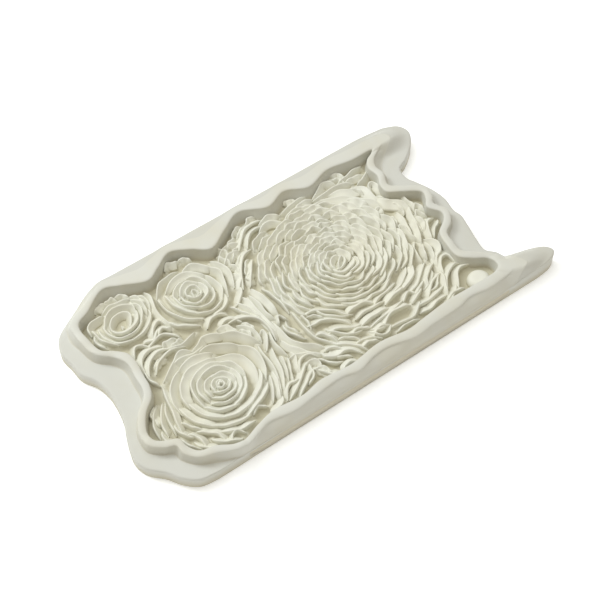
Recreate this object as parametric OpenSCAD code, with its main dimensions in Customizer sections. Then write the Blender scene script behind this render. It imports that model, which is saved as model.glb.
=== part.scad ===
// Open-faced silicone casting mould: a backing sheet, a wavy pouring wall and four roses in relief.
// Millimetres, +Z up, +X along the mould. The origin is the middle of the flat underside.

/* [Overall] */
// Width of the mould across its two straight sides
mould_w = 100; // [99.8:0.1:102]
// Height from the underside to the top of the pouring wall
wall_h = 11.5; // [11:0.1:16]
// Thickness of the backing sheet
sheet_t = 3.2; // [2.4:0.1:3.6]
// Height of the flat flange outside the wall at the left end
left_flange_h = 6.2; // [4:0.2:8]
// Height of the flange outside the wall at the right end
right_flange_h = 7; // [4:0.2:8]
// Height of the two pull tabs
tab_h = 8.2; // [5:0.2:10]
// Height of the cavity floor
floor_h = 4.2; // [4:0.1:5]

/* [Petals] */
// Height of the petal lips above the underside
petal_h = 8.6; // [7:0.2:9]
// Thickness of a petal at its root
petal_root = 1.7; // [1.2:0.1:1.9]
// Thickness of a petal at its lip
petal_lip = 0.9; // [0.6:0.1:1.1]
// Radius of the large rose
large_r = 37; // [34:0.5:37]
// Radius of the medium rose
medium_r = 23.5; // [21:0.5:23.5]
// Radius of the rear rose
rear_r = 15.5; // [14:0.5:15.5]
// Radius of the corner rose
corner_r = 11; // [10:0.5:11]

/* [Hidden] */
$fn = 48;
half_w = mould_w / 2;

// Rose centres on the cavity floor
LARGE = [21.2, 2.5];
MEDIUM = [-53.3, -18];
REAR = [-37.3, 23.5];
CORNER = [-68.8, 28];
ROSES = [[LARGE, large_r], [MEDIUM, medium_r], [REAR, rear_r], [CORNER, corner_r]];

// Outer edge of the sheet, round the right end from the front to the rear
RIGHT_EDGE = [
    [87.2, -half_w], [94.4, -49.2], [98.4, -46.6], [96.8, -43], [91.2, -40], [85.2, -38], [80.7, -36.8],
    [78.7, -32.5], [75.6, -28.5], [76.4, -22], [78.4, -13.5], [79.4, -8.5], [78.6, -4], [79.6, 3],
    [78.4, 10], [75.6, 17], [73.4, 22], [74.2, 28], [80.2, 31], [87.2, 36.5], [90.4, 42.5],
    [88, 47.6], [81.2, half_w]
];
// Outer edge of the sheet, round the left end from the rear to the front
LEFT_EDGE = [
    [-68.8, half_w], [-77.3, 48.2], [-86.8, 43.6], [-93.6, 39], [-96.8, 32.4], [-96.2, 25], [-95.6, 18.4],
    [-92.2, 12], [-90.8, 5], [-91.2, -2], [-93, -10], [-96.4, -18], [-98.5, -26.4], [-96.8, -33],
    [-91.8, -38.6], [-88, -44.4], [-82.8, -48.8], [-75.8, -half_w]
];
// Outer edge of the wall where it winds round the left end, from the rear to the front
LEFT_WALL_EDGE = [
    [-70.8, half_w], [-80.8, 44.8], [-88.2, 38.4], [-88.8, 27], [-86.8, 19.6], [-81.8, 14.8], [-79, 9],
    [-79.8, 1.5], [-80.4, -4.4], [-82.2, -8], [-87.4, -12.6], [-91.8, -19.8], [-92, -27.2], [-87.4, -31.6],
    [-83.4, -33.6], [-82.8, -38], [-78.6, -43], [-72.1, -45.4], [-65.8, -48.4], [-59.8, -half_w]
];
// The same round the right end, from the front to the rear
RIGHT_WALL_EDGE = [
    [78.2, -half_w], [76.8, -42], [74.8, -34], [68.6, -28.6], [65, -25], [65, -19.4], [66.4, -14],
    [71.4, -10.6], [74.4, -4.4], [71.6, 1.6], [73.6, 5], [74.2, 11.4], [66.2, 17.6], [62.2, 21.4],
    [64.4, 27.6], [64.2, 33], [67.6, 37], [75.2, 41], [78.6, 45], [79.2, half_w]
];
// Inner edge of the wall's top, all round the cavity and starting at the rear left
CAVITY = [
    [-85.3, 36], [-78.8, 39.8], [-68.8, 45.6], [-60.8, 42.8], [-50.8, 38.5], [-43.8, 41.6], [-35.8, 45.6],
    [-27.8, 42], [-19.8, 37], [-9.8, 42], [0.2, 46.4], [12.2, 41.4], [22.7, 44.4], [33.2, 40.1],
    [45.2, 43.2], [57.2, 41.4], [68.2, 41.2], [63.2, 38], [60.7, 34], [61, 28], [58.8, 23],
    [59.2, 18.4], [64.2, 14.8], [71.2, 10], [70.2, 5.6], [67.8, 1.6], [71, -4], [69.2, -8],
    [63.7, -12], [61.6, -19], [61.6, -26.6], [66.2, -31.2], [71.6, -35], [71.8, -40.6], [65.2, -42],
    [55.2, -41.8], [43.2, -41.4], [29.2, -42.8], [21.2, -43.4], [8.2, -41.4], [-6.8, -43], [-20.8, -41.8],
    [-30.8, -43.4], [-43.8, -42.2], [-52.8, -44.2], [-59.8, -46.4], [-64.8, -45.6], [-70.8, -42.2], [-76.8, -40.4],
    [-79.8, -36], [-80.8, -31.4], [-85.8, -28.8], [-89, -26], [-88.8, -21], [-84.8, -14.6], [-79.4, -9.8],
    [-77.2, -5], [-76.4, 1], [-75.4, 8], [-76.2, 13.2], [-79.8, 17.4], [-84.2, 20.6], [-85.4, 27]
];
// Where the side walls end and the end walls begin
LEFT_END_X = -66;
RIGHT_END_X = 58;
MIDDLE_X = -4;
// Where the right flange ends and the two pull tabs begin
rear_tab_y = 27;
front_tab_y = -36;
// The petal in the front right pocket: the middle of its straight edge, and its radius
POCKET = [63, -40.8];
pocket_petal_r = 5;

// A smooth run of points through a list of points, with n steps between two of them
function run(p, n = 4) = [
    for (i = [0 : len(p) - 2], s = [0 : n - 1])
        let (a = p[max(i - 1, 0)], b = p[i], c = p[i + 1], d = p[min(i + 2, len(p) - 1)], t = s / n)
        b + t / 2 * (c - a) + t * t / 2 * (2 * a - 5 * b + 4 * c - d)
            + t * t * t / 2 * (3 * b - a - 3 * c + d)
];
// The same through a closed loop
function loop(p, n = 3) = [
    for (i = [0 : len(p) - 1], s = [0 : n - 1])
        let (m = len(p), a = p[(i + m - 1) % m], b = p[i], c = p[(i + 1) % m],
            d = p[(i + 2) % m], t = s / n)
        b + t / 2 * (c - a) + t * t / 2 * (2 * a - 5 * b + 4 * c - d)
            + t * t * t / 2 * (3 * b - a - 3 * c + d)
];
// An outline made of one run, a straight side, another run and the other straight side
function two_ended(a, b) = concat(run(a), [a[len(a) - 1]], run(b), [b[len(b) - 1]]);

sheet_outline = two_ended(RIGHT_EDGE, LEFT_EDGE);
wall_outline = two_ended(RIGHT_WALL_EDGE, LEFT_WALL_EDGE);
cavity_outline = loop(CAVITY);

module sheet_plan() {
    polygon(sheet_outline);
}
module cavity_plan() {
    polygon(cavity_outline);
}
// The wall in plan: a band round both ends, and everything out to the straight sides between them
module wall_plan() {
    difference() {
        polygon(wall_outline);
        cavity_plan();
    }
}
// A slab of a plan shape between two heights, kept between two X and two Y limits
module slab(z0, z1, x0 = -120, x1 = 120, y0 = -80, y1 = 80) {
    translate([0, 0, z0])
        linear_extrude(z1 - z0)
            intersection() {
                children();
                translate([x0, y0])
                    square([x1 - x0, y1 - y0]);
            }
}
module flange_plan() {
    difference() {
        sheet_plan();
        polygon(wall_outline);
    }
}

// Petal rings: a rose has n_rings of them between its bud and its outer radius
bud_r = 3.2;
bud_wall = 1.2;
ring_gap = 3.6;
petal_gap_deg = 2;
wall_clear = 1.5;
rose_clear = 1.9;

function ring_radius(r, n_rings, i) = let (r0 = bud_r + 2.6) r0 + (r - r0) * i / (n_rings - 1);
// Petals in a ring: five near the bud, and petals of about 13 mm further out
function petal_count(r) = max(5, round(2 * PI * r / 13));

// Even-odd test of whether a point lies inside a closed outline
function crossings(q, p) = len([
    for (i = [0 : len(p) - 1])
        let (a = p[i], b = p[(i + 1) % len(p)])
        if ((a[1] > q[1]) != (b[1] > q[1])
            && q[0] < a[0] + (q[1] - a[1]) * (b[0] - a[0]) / (b[1] - a[1])) 1
]);
function wall_distance(q) = min([for (p = cavity_outline) norm(q - p)]);
// How far a point stands outside each rose's outer petals
function rose_distance(q) = [for (rose = ROSES) norm(q - rose[0]) - rose[1]];
function is_nearest(q, k) =
    let (d = rose_distance(q), others = [for (i = [0 : len(d) - 1]) if (i != k) d[i]])
    min(others) > d[k] + rose_clear && d[k] > rose_clear / 2;
function is_free(q, k) =
    crossings(q, cavity_outline) % 2 == 1 && wall_distance(q) > wall_clear && is_nearest(q, k);
function on_circle(c, r, a) = c + r * [cos(a), sin(a)];

// One petal: a tapered fin along an arc that bulges away from the rose's middle
module petal(r, half_deg) {
    bulge_r = r / 2;
    sweep = 2 * half_deg;
    translate([r - bulge_r, 0, floor_h])
        rotate(-sweep)
            rotate_extrude(angle = 2 * sweep)
                polygon([
                    [bulge_r - petal_root, 0], [bulge_r, 0],
                    [bulge_r - (petal_root - petal_lip) / 2, petal_h - floor_h],
                    [bulge_r - (petal_root + petal_lip) / 2, petal_h - floor_h]
                ]);
}
module petal_ring(r, turn) {
    n = petal_count(r);
    for (i = [0 : n - 1])
        rotate(turn + 360 * i / n)
            petal(r, 180 / n - petal_gap_deg);
}
// Rings first to last of a rose
module petal_rings(rose, n_rings, first, last) {
    color("beige")
        translate(ROSES[rose][0])
            for (i = [first : last])
                petal_ring(ring_radius(ROSES[rose][1], n_rings, i), 47 * i);
}
// A rolled bud: a core inside a ring that is open on one side
module bud(rose) {
    color("ivory")
        translate([ROSES[rose][0][0], ROSES[rose][0][1], floor_h]) {
            cylinder(r = bud_r - 2 * bud_wall, h = petal_h - floor_h);
            rotate_extrude(angle = 310)
                translate([bud_r - bud_wall, 0])
                    square([bud_wall, petal_h - floor_h]);
        }
}
// Loose petals round a rose, wherever a whole one fits between its neighbours and the wall
module edge_petals(rose, first, last, x0 = -120, x1 = 120, y0 = -80, y1 = 80) {
    c = ROSES[rose][0];
    color("oldlace")
        for (i = [first : last])
            let (r = ROSES[rose][1] + ring_gap * i, n = round(2 * PI * r / 9), half = 180 / n - 1)
                for (j = [0 : n - 1])
                    let (a = 360 * (j + i / 2) / n, m = on_circle(c, r - petal_root / 2, a))
                        if (m[0] > x0 && m[0] < x1 && m[1] > y0 && m[1] < y1
                            && is_free(m, rose) && is_free(on_circle(c, r - petal_root, a - half), rose)
                            && is_free(on_circle(c, r - petal_root, a + half), rose))
                            translate(c)
                                rotate(a)
                                    petal(r, half);
}

module backing_sheet() {
    color("gainsboro")
        slab(0, sheet_t)
            sheet_plan();
}
module cavity_floor() {
    color("darkkhaki")
        slab(sheet_t, floor_h)
            cavity_plan();
}
module left_flange() {
    color("lightgray")
        slab(sheet_t, left_flange_h, x1 = 0)
            flange_plan();
}
module right_flange() {
    color("lightgray")
        slab(sheet_t, right_flange_h, x0 = 0, y0 = front_tab_y, y1 = rear_tab_y)
            flange_plan();
}
module rear_pull_tab() {
    color("silver")
        slab(sheet_t, tab_h, x0 = 0, y0 = rear_tab_y)
            flange_plan();
}
module front_pull_tab() {
    color("silver")
        slab(sheet_t, tab_h, x0 = 0, y1 = front_tab_y)
            flange_plan();
}
module wall_section(x0, x1, y0, y1) {
    color("whitesmoke")
        slab(sheet_t, wall_h, x0, x1, y0, y1)
            wall_plan();
}
module rear_wall_left() {
    wall_section(LEFT_END_X, MIDDLE_X, 0, half_w);
}
module rear_wall_right() {
    wall_section(MIDDLE_X, RIGHT_END_X, 0, half_w);
}
module front_wall_left() {
    wall_section(LEFT_END_X, MIDDLE_X, -half_w, 0);
}
module front_wall_right() {
    wall_section(MIDDLE_X, RIGHT_END_X, -half_w, 0);
}
module left_wall_rear() {
    wall_section(-120, LEFT_END_X, 0, half_w);
}
module left_wall_front() {
    wall_section(-120, LEFT_END_X, -half_w, 0);
}
module right_wall_rear() {
    wall_section(RIGHT_END_X, 120, 0, half_w);
}
module right_wall_front() {
    wall_section(RIGHT_END_X, 120, -half_w, 0);
}
module left_edge_petals() {
    edge_petals(1, 1, 8, x1 = -56);
}
module centre_petals() {
    edge_petals(0, 1, 6, x1 = -4, y0 = -18);
    edge_petals(1, 1, 6, x0 = -56, y0 = -30);
}
module front_fan_petals() {
    edge_petals(0, 1, 8, x1 = 14, y1 = -18);
    edge_petals(1, 1, 8, x0 = -56, y1 = -30);
}
module rear_edge_petals() {
    edge_petals(0, 1, 5, x0 = -4, x1 = 40, y0 = 20);
    edge_petals(2, 1, 5);
    edge_petals(3, 1, 5);
}
module right_edge_petals() {
    edge_petals(0, 1, 5, x0 = 40);
}
// The rounded petal that fills the deep pocket at the front right
module pocket_petal() {
    color("oldlace")
        slab(floor_h, petal_h)
            intersection() {
                translate(POCKET)
                    circle(r = pocket_petal_r);
                translate([POCKET[0] - pocket_petal_r, POCKET[1]])
                    square([2 * pocket_petal_r, pocket_petal_r]);
            }
}

backing_sheet();
cavity_floor();
left_flange();
right_flange();
rear_pull_tab();
front_pull_tab();
rear_wall_left();
rear_wall_right();
front_wall_left();
front_wall_right();
left_wall_rear();
left_wall_front();
right_wall_rear();
right_wall_front();
bud(0);  // large_rose_bud
petal_rings(0, 10, 0, 2);  // large_rose_inner_petals
petal_rings(0, 10, 3, 5);  // large_rose_middle_petals
petal_rings(0, 10, 6, 9);  // large_rose_outer_petals
bud(1);  // medium_rose_bud
petal_rings(1, 6, 0, 2);  // medium_rose_inner_petals
petal_rings(1, 6, 3, 5);  // medium_rose_outer_petals
bud(2);  // rear_rose_bud
petal_rings(2, 4, 0, 1);  // rear_rose_inner_petals
petal_rings(2, 4, 2, 3);  // rear_rose_outer_petals
bud(3);  // corner_rose_bud
petal_rings(3, 3, 0, 2);  // corner_rose_petals
left_edge_petals();
centre_petals();
front_fan_petals();
rear_edge_petals();
right_edge_petals();
pocket_petal();
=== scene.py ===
"""The looks of a one-piece silicone casting mould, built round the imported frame.

Plan outlines and ring sizes are written in millimetres and turned into metres as each mesh is made.
"""

import logging
import math
from dataclasses import dataclass
from enum import Enum
from typing import Any, ClassVar

import bpy
import numpy as np
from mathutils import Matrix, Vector


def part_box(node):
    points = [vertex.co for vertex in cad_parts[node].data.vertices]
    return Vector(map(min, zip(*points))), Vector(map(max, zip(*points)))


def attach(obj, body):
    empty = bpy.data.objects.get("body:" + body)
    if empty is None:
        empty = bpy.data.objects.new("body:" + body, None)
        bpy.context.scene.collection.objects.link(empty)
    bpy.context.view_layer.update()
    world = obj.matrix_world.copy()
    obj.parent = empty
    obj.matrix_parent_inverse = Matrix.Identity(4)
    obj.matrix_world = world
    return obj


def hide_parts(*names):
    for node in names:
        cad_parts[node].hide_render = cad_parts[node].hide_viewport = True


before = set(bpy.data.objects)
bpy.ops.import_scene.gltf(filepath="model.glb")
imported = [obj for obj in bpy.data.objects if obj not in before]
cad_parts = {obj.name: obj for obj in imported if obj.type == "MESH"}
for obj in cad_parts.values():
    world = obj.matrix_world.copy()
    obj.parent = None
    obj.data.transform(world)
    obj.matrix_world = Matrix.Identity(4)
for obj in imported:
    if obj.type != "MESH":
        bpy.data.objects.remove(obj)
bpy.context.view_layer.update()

MM = 0.001
TURN = 2 * math.pi
log = logging.getLogger("mould")

Point = tuple[float, float]
Colour = tuple[float, float, float, float]


# ---------------------------------------------------------------- plan outlines, in millimetres
# Round the right end of the sheet, from the front to the rear.
RIGHT_EDGE: list[Point] = [
    (87.2, -50), (94.4, -49.2), (98.4, -46.6), (96.8, -43), (91.2, -40), (85.2, -38), (80.7, -36.8),
    (78.7, -32.5), (75.6, -28.5), (76.4, -22), (78.4, -13.5), (79.4, -8.5), (78.6, -4), (79.6, 3),
    (78.4, 10), (75.6, 17), (73.4, 22), (74.2, 28), (80.2, 31), (87.2, 36.5), (90.4, 42.5),
    (88, 47.6), (81.2, 50),
]
# Round the left end of the sheet, from the rear to the front.
LEFT_EDGE: list[Point] = [
    (-68.8, 50), (-77.3, 48.2), (-86.8, 43.6), (-93.6, 39), (-96.8, 32.4), (-96.2, 25), (-95.6, 18.4),
    (-92.2, 12), (-90.8, 5), (-91.2, -2), (-93, -10), (-96.4, -18), (-98.5, -26.4), (-96.8, -33),
    (-91.8, -38.6), (-88, -44.4), (-82.8, -48.8), (-75.8, -50),
]
# Outer edge of the wall's top: along the front, round the right end, along the rear, round the left.
RIM: list[Point] = [
    (-60, -49.4), (-54, -47.6), (-47.5, -46), (-37, -47.6), (-26.5, -46.8), (-14, -46), (-5.5, -47.6),
    (3, -45.6), (11, -45.6), (22, -48.4), (32, -47.6), (45, -47.2), (53, -45.8), (62, -47.2),
    (70, -46.6), (76, -45.4), (77, -41), (74.8, -34), (68.6, -28.6), (65, -25), (65, -19.4),
    (66.4, -14), (71.4, -10.6), (74.4, -4.4), (71.6, 1.6), (73.6, 5), (74.2, 11.4), (66.2, 17.6),
    (62.2, 21.4), (64.4, 27.6), (64.2, 33), (67.2, 37.4), (74, 41.4), (72, 44.2), (57.2, 44.4),
    (45.2, 46.2), (33.2, 43.1), (22.7, 47.2), (12.2, 44.4), (0.2, 48.6), (-9.8, 45), (-19.8, 40),
    (-27.8, 45), (-35.8, 48.2), (-43.8, 44.6), (-50.8, 41.5), (-60.8, 45.8), (-68.8, 48.4),
    (-80.4, 42.8), (-88.2, 38.4), (-88.8, 27), (-86.8, 19.6), (-81.8, 14.8), (-79, 9), (-79.8, 1.5),
    (-80.4, -4.4), (-82.2, -8), (-87.4, -12.6), (-91.8, -19.8), (-92, -27.2), (-87.4, -31.6),
    (-83.4, -33.6), (-82.8, -38), (-78.6, -43), (-72.1, -45.4), (-65.8, -48.4),
]
# Inner edge of the wall's top, the same way round.
CAVITY: list[Point] = [
    (-59.8, -46.4), (-52.8, -44.2), (-43.8, -42.2), (-30.8, -43.4), (-20.8, -41.8), (-6.8, -43),
    (8.2, -41.4), (21.2, -43.4), (29.2, -42.8), (43.2, -41.4), (55.2, -41.8), (65.2, -42),
    (71.8, -40.6), (71.6, -35), (66.2, -31.2), (61.6, -26.6), (61.6, -19), (63.7, -12), (69.2, -8),
    (71, -4), (67.8, 1.6), (70.2, 5.6), (71.2, 10), (64.2, 14.8), (59.2, 18.4), (58.8, 23),
    (61, 28), (60.7, 34), (63.2, 38), (68.2, 41.2), (57.2, 41.4), (45.2, 43.2), (33.2, 40.1),
    (22.7, 44.4), (12.2, 41.4), (0.2, 46.4), (-9.8, 42), (-19.8, 37), (-27.8, 42), (-35.8, 45.6),
    (-43.8, 41.6), (-50.8, 38.5), (-60.8, 42.8), (-68.8, 45.6), (-78.8, 39.8), (-85.3, 36),
    (-85.4, 27), (-84.2, 20.6), (-79.8, 17.4), (-76.2, 13.2), (-75.4, 8), (-76.4, 1), (-77.2, -5),
    (-79.4, -9.8), (-84.8, -14.6), (-88.8, -21), (-89, -26), (-85.8, -28.8), (-80.8, -31.4),
    (-79.8, -36), (-76.8, -40.4), (-70.8, -42.2), (-64.8, -45.6),
]


class Level(Enum):
    """A height of the casting, named by the CAD node whose top gives it."""

    LEFT = "left_flange"
    RIGHT = "right_flange"
    TAB = "rear_pull_tab"
    WALL = "rear_wall_left"
    FLOOR = "cavity_floor"
    SHEET = "backing_sheet"

    def height(self) -> float:
        """The top of that node, in millimetres."""
        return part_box(self.value)[1].z / MM


@dataclass(frozen=True)
class Rib:
    """One cross-section of the casting's border, as plan points and heights in millimetres.

    cavity, rim and sheet lie near the inner edge of the wall's top, its outer edge and the sheet's
    edge. edge and foot are the levels of the flange at the sheet's edge and at the wall's foot.
    foot_share says how far from the rim towards the sheet's edge the foot lies, and run how far the
    inner face slopes into the cavity.
    """

    cavity: Point
    rim: Point
    sheet: Point
    edge: Level
    foot: Level
    foot_share: float = 0.15
    run: float = 1.0


RIBS: list[Rib] = [
    Rib((-59.8, -46.4), (-60, -49.4), (-62, -50), Level.LEFT, Level.LEFT, 0.9),
    Rib((-43.8, -42.2), (-44, -46.6), (-44, -50), Level.LEFT, Level.LEFT, 0.98),
    Rib((-6.8, -43), (-6.8, -47.4), (-6.8, -50), Level.LEFT, Level.LEFT, 0.98),
    Rib((29.2, -42.8), (29.2, -47.8), (29.2, -50), Level.LEFT, Level.LEFT, 0.98),
    Rib((65.2, -42), (65.5, -47), (68, -50), Level.LEFT, Level.LEFT, 0.98),
    Rib((71, -41.2), (76.2, -45), (90, -50), Level.TAB, Level.WALL, 0.4),
    Rib((72, -39), (77, -41.6), (97.6, -44), Level.TAB, Level.WALL, 0.2),
    Rib((71.6, -35), (74.8, -34), (80.7, -36.8), Level.RIGHT, Level.RIGHT, 0.2),
    Rib((61.6, -26.6), (65, -25), (75.8, -27), Level.RIGHT, Level.RIGHT),
    Rib((61.6, -19), (65, -19.4), (76.8, -19), Level.RIGHT, Level.RIGHT),
    Rib((69.2, -8), (72.6, -9), (79.4, -8.5), Level.RIGHT, Level.RIGHT),
    Rib((67.8, 1.6), (71.6, 1.6), (79.4, 1.6), Level.RIGHT, Level.RIGHT),
    Rib((71.2, 10), (74.2, 11.4), (78.2, 11), Level.RIGHT, Level.RIGHT),
    Rib((59.2, 18.4), (62.2, 21.4), (73.6, 21), Level.RIGHT, Level.RIGHT),
    Rib((61, 28), (64.4, 27.6), (74.2, 28), Level.RIGHT, Level.RIGHT, 0.2),
    Rib((62, 36.8), (66.4, 36.6), (84, 34), Level.RIGHT, Level.RIGHT, 0.25),
    Rib((68.2, 41.2), (74, 41.4), (90.4, 42.5), Level.TAB, Level.WALL, 0.3),
    Rib((57.2, 41.4), (57.2, 44.4), (62, 50), Level.WALL, Level.WALL, 0.5, 2.4),
    Rib((22.7, 44.4), (22.7, 47.2), (22.7, 50), Level.WALL, Level.WALL, 0.5, 3.4),
    Rib((-19.8, 37), (-19.8, 40), (-19.8, 50), Level.WALL, Level.WALL, 0.5, 1.6),
    Rib((-50.8, 38.5), (-50.8, 41.5), (-50.8, 50), Level.WALL, Level.WALL, 0.5, 1.6),
    Rib((-66, 45), (-66, 48), (-66, 50), Level.WALL, Level.WALL, 0.5, 3.4),
    Rib((-78.8, 39.8), (-80.4, 42.8), (-84, 45.2), Level.LEFT, Level.TAB, 0.6, 2.4),
    Rib((-85.3, 34), (-88.8, 35), (-95.4, 36), Level.LEFT, Level.LEFT, 0.3),
    Rib((-85.4, 27), (-88.8, 27), (-96.4, 27), Level.LEFT, Level.LEFT),
    Rib((-84.2, 20.6), (-86.8, 19.6), (-95.6, 18.4), Level.LEFT, Level.LEFT),
    Rib((-76.2, 13.2), (-80.4, 12.4), (-92.2, 12), Level.LEFT, Level.LEFT),
    Rib((-76.4, 1), (-79.8, 1.5), (-91, 1), Level.LEFT, Level.LEFT),
    Rib((-79.4, -9.8), (-83, -8.8), (-93, -10), Level.LEFT, Level.LEFT),
    Rib((-88.8, -21), (-91.9, -20.6), (-97, -20), Level.LEFT, Level.LEFT),
    Rib((-89, -26), (-92, -27.2), (-98.5, -26.4), Level.LEFT, Level.LEFT),
    Rib((-80.8, -31.4), (-83.6, -33.2), (-95.4, -35), Level.LEFT, Level.LEFT),
    Rib((-76.8, -40.4), (-79.2, -42.4), (-88, -44.4), Level.LEFT, Level.LEFT),
    Rib((-64.8, -45.6), (-66.4, -48.2), (-74, -50), Level.LEFT, Level.LEFT, 0.3),
]


# ---------------------------------------------------------------- petals drawn
@dataclass(frozen=True)
class Lip:
    """The lip of one drawn petal, as plan points, and the width of the slope behind it."""

    points: tuple[Point, ...]
    run: float


def lips(*lines: tuple) -> list[Lip]:
    """Turns lines of plan points, each ended by its run, into lips; all in millimetres."""
    return [Lip(line[:-1], line[-1]) for line in lines]


LARGE_BUD = lips(
    ((17.2, -0.2), (16.8, 2), (18, 4.4), (20.8, 5.8), (23.2, 4.8), 0.9),
    ((22.4, 5.2), (24.2, 2.6), (22.8, -0.2), (19.6, -1.4), (17, -0.6), 0.9),
    ((18.6, -1), (19.4, 0.8), (20.8, 2.3), (22.4, 3.4), (23, 4.4), 0.5),
)
MEDIUM_BUD = lips(
    ((-55.2, -19.4), (-54.6, -17.6), (-52.8, -16.9), (-51.5, -18.3), 0.7),
    ((-51.6, -17.8), (-51.8, -20.2), (-53.6, -20.9), (-55, -19.8), 0.7),
    ((-54, -19.6), (-53.2, -18.2), (-52.6, -19.2), 0.3),
)
REAR_BUD = lips(
    ((-38.8, 22.4), (-38.6, 24.6), (-37.2, 25.6), (-35.9, 24.2), 0.6),
    ((-36, 24.6), (-35.8, 22.6), (-37.4, 21.9), 0.4),
)
CORNER_BUD = lips(
    ((-70.8, 27.2), (-70.4, 28.2), (-69.8, 27.4), 0.3),
)
MEDIUM_INNER = lips(
    ((-57, -20.6), (-56.8, -17.2), (-54, -15.6), (-50.6, -16.6), (-49, -18.8), 0.9),
    ((-49.2, -18), (-49.6, -21), (-52, -22.6), (-55, -22.4), (-57.4, -20.4), 0.9),
    ((-59.5, -21.5), (-60, -17.5), (-57.6, -14.4), (-53.3, -13.1), 1.1),
    ((-55, -13.6), (-49.5, -14.6), (-47, -18), (-47.2, -21.6), 1.1),
    ((-46.8, -20.4), (-48.6, -23.6), (-52, -25), (-56, -24.8), (-59.2, -22.4), 1.1),
    ((-61.6, -23), (-62.7, -18), (-61, -13.4), (-57, -10.8), 1.2),
    ((-58.4, -11.4), (-52.4, -10.2), (-47.8, -12.4), (-45.4, -16), 1.2),
    ((-45.8, -14.6), (-44.6, -19.4), (-46.2, -24.2), (-49.4, -26.6), 1.2),
    ((-47.8, -25.8), (-52, -27.6), (-56.4, -27.4), (-60.6, -24.8), 1.2),
    ((-64.2, -25), (-65, -19.4), (-63.6, -13), (-60.4, -9.6), 1.6),
    ((-61.6, -10.2), (-56.4, -8.1), (-50.8, -8.1), (-46.4, -10.2), 1.4),
    ((-47.6, -9.8), (-43.6, -13.6), (-42.4, -18.6), (-43.2, -22.6), 1.4),
    ((-42.8, -21.2), (-45.4, -26.2), (-49.8, -29.4), (-54.4, -30.4), 1.2),
    ((-52.4, -30.6), (-58, -30.2), (-62, -27.8), (-64.6, -23.8), 1.2),
)
MEDIUM_OUTER = lips(
    ((-66.4, -11.8), (-64.8, -8), (-59.6, -5.5), (-53.3, -5.6), (-47.4, -7), 2.6),
    ((-49.4, -6.4), (-42.6, -9.4), (-38.6, -13), (-37.4, -18.4), (-38.4, -23.4), (-41, -27.2), 5.0),
    ((-69.4, -20.6), (-69.4, -15.4), (-66.6, -10), (-62, -6.4), 2.6),
    ((-68.8, -18.6), (-68, -24.6), (-64.4, -30.2), (-59.5, -33.2), 2.0),
    ((-61.6, -32.2), (-55, -34.4), (-48.6, -33.6), (-43.6, -31), 1.8),
    ((-46, -32.4), (-41, -29.6), (-37.6, -25.6), (-36.6, -22.2), 1.2),
    ((-73.4, -21), (-73.6, -15.6), (-71.2, -9.6), (-66.6, -5.2), (-61.4, -2.8), 2.6),
    ((-63.6, -3.8), (-58, -1.8), (-52.4, -2.4), (-48.2, -4), 2.0),
    ((-52.6, -1), (-46.4, -1.2), (-40.2, -4.8), (-36, -8.6), 2.2),
    ((-37.6, -7.2), (-33.4, -12), (-32.8, -18), (-34.4, -23.6), (-37, -27.6), 2.4),
    ((-72.8, -18.4), (-72.4, -24.4), (-69.4, -30.2), (-65, -34.4), 2.0),
    ((-67.4, -32.2), (-62.4, -35.8), (-57, -37.5), (-51.2, -37.4), 1.8),
    ((-53.2, -37.6), (-46, -35.2), (-40.2, -32.4), (-37.4, -29.4), 1.6),
    ((-65.2, -36.8), (-62, -39.4), (-57, -41.2), (-52, -40.6), 1.6),
    ((-70.4, -4), (-67, -2), (-63.2, 0.6), (-59.5, 3.2), (-56.4, 3.2), (-53.6, 1), 1.8),
    ((-66, -1), (-62, 0.4), (-57.6, 0.6), (-53.4, -0.6), (-49, 0.8), 1.4),
    ((-54, 1.4), (-50.6, 2), (-47, 4.2), (-42.8, 3), (-38.6, 0.8), 1.8),
    ((-40, 1.6), (-34.6, -1.8), (-31.4, -6.2), (-29.2, -11), 2.2),
)
REAR_INNER = lips(
    ((-40.8, 25), (-39.6, 22), (-36, 21.2), (-33.9, 23.8), 0.8),
    ((-34, 23), (-34.8, 26.8), (-37.6, 28.2), (-40.4, 26.8), (-41, 24.2), 0.8),
    ((-43.2, 27), (-42.8, 22.4), (-40.2, 19.4), (-36, 18.8), 1.0),
    ((-37.4, 18.7), (-32.8, 20.4), (-31.6, 23.8), (-33, 28), 1.0),
    ((-32.4, 27), (-37, 30.6), (-41, 29.4), (-43.6, 25.8), 1.0),
)
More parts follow.
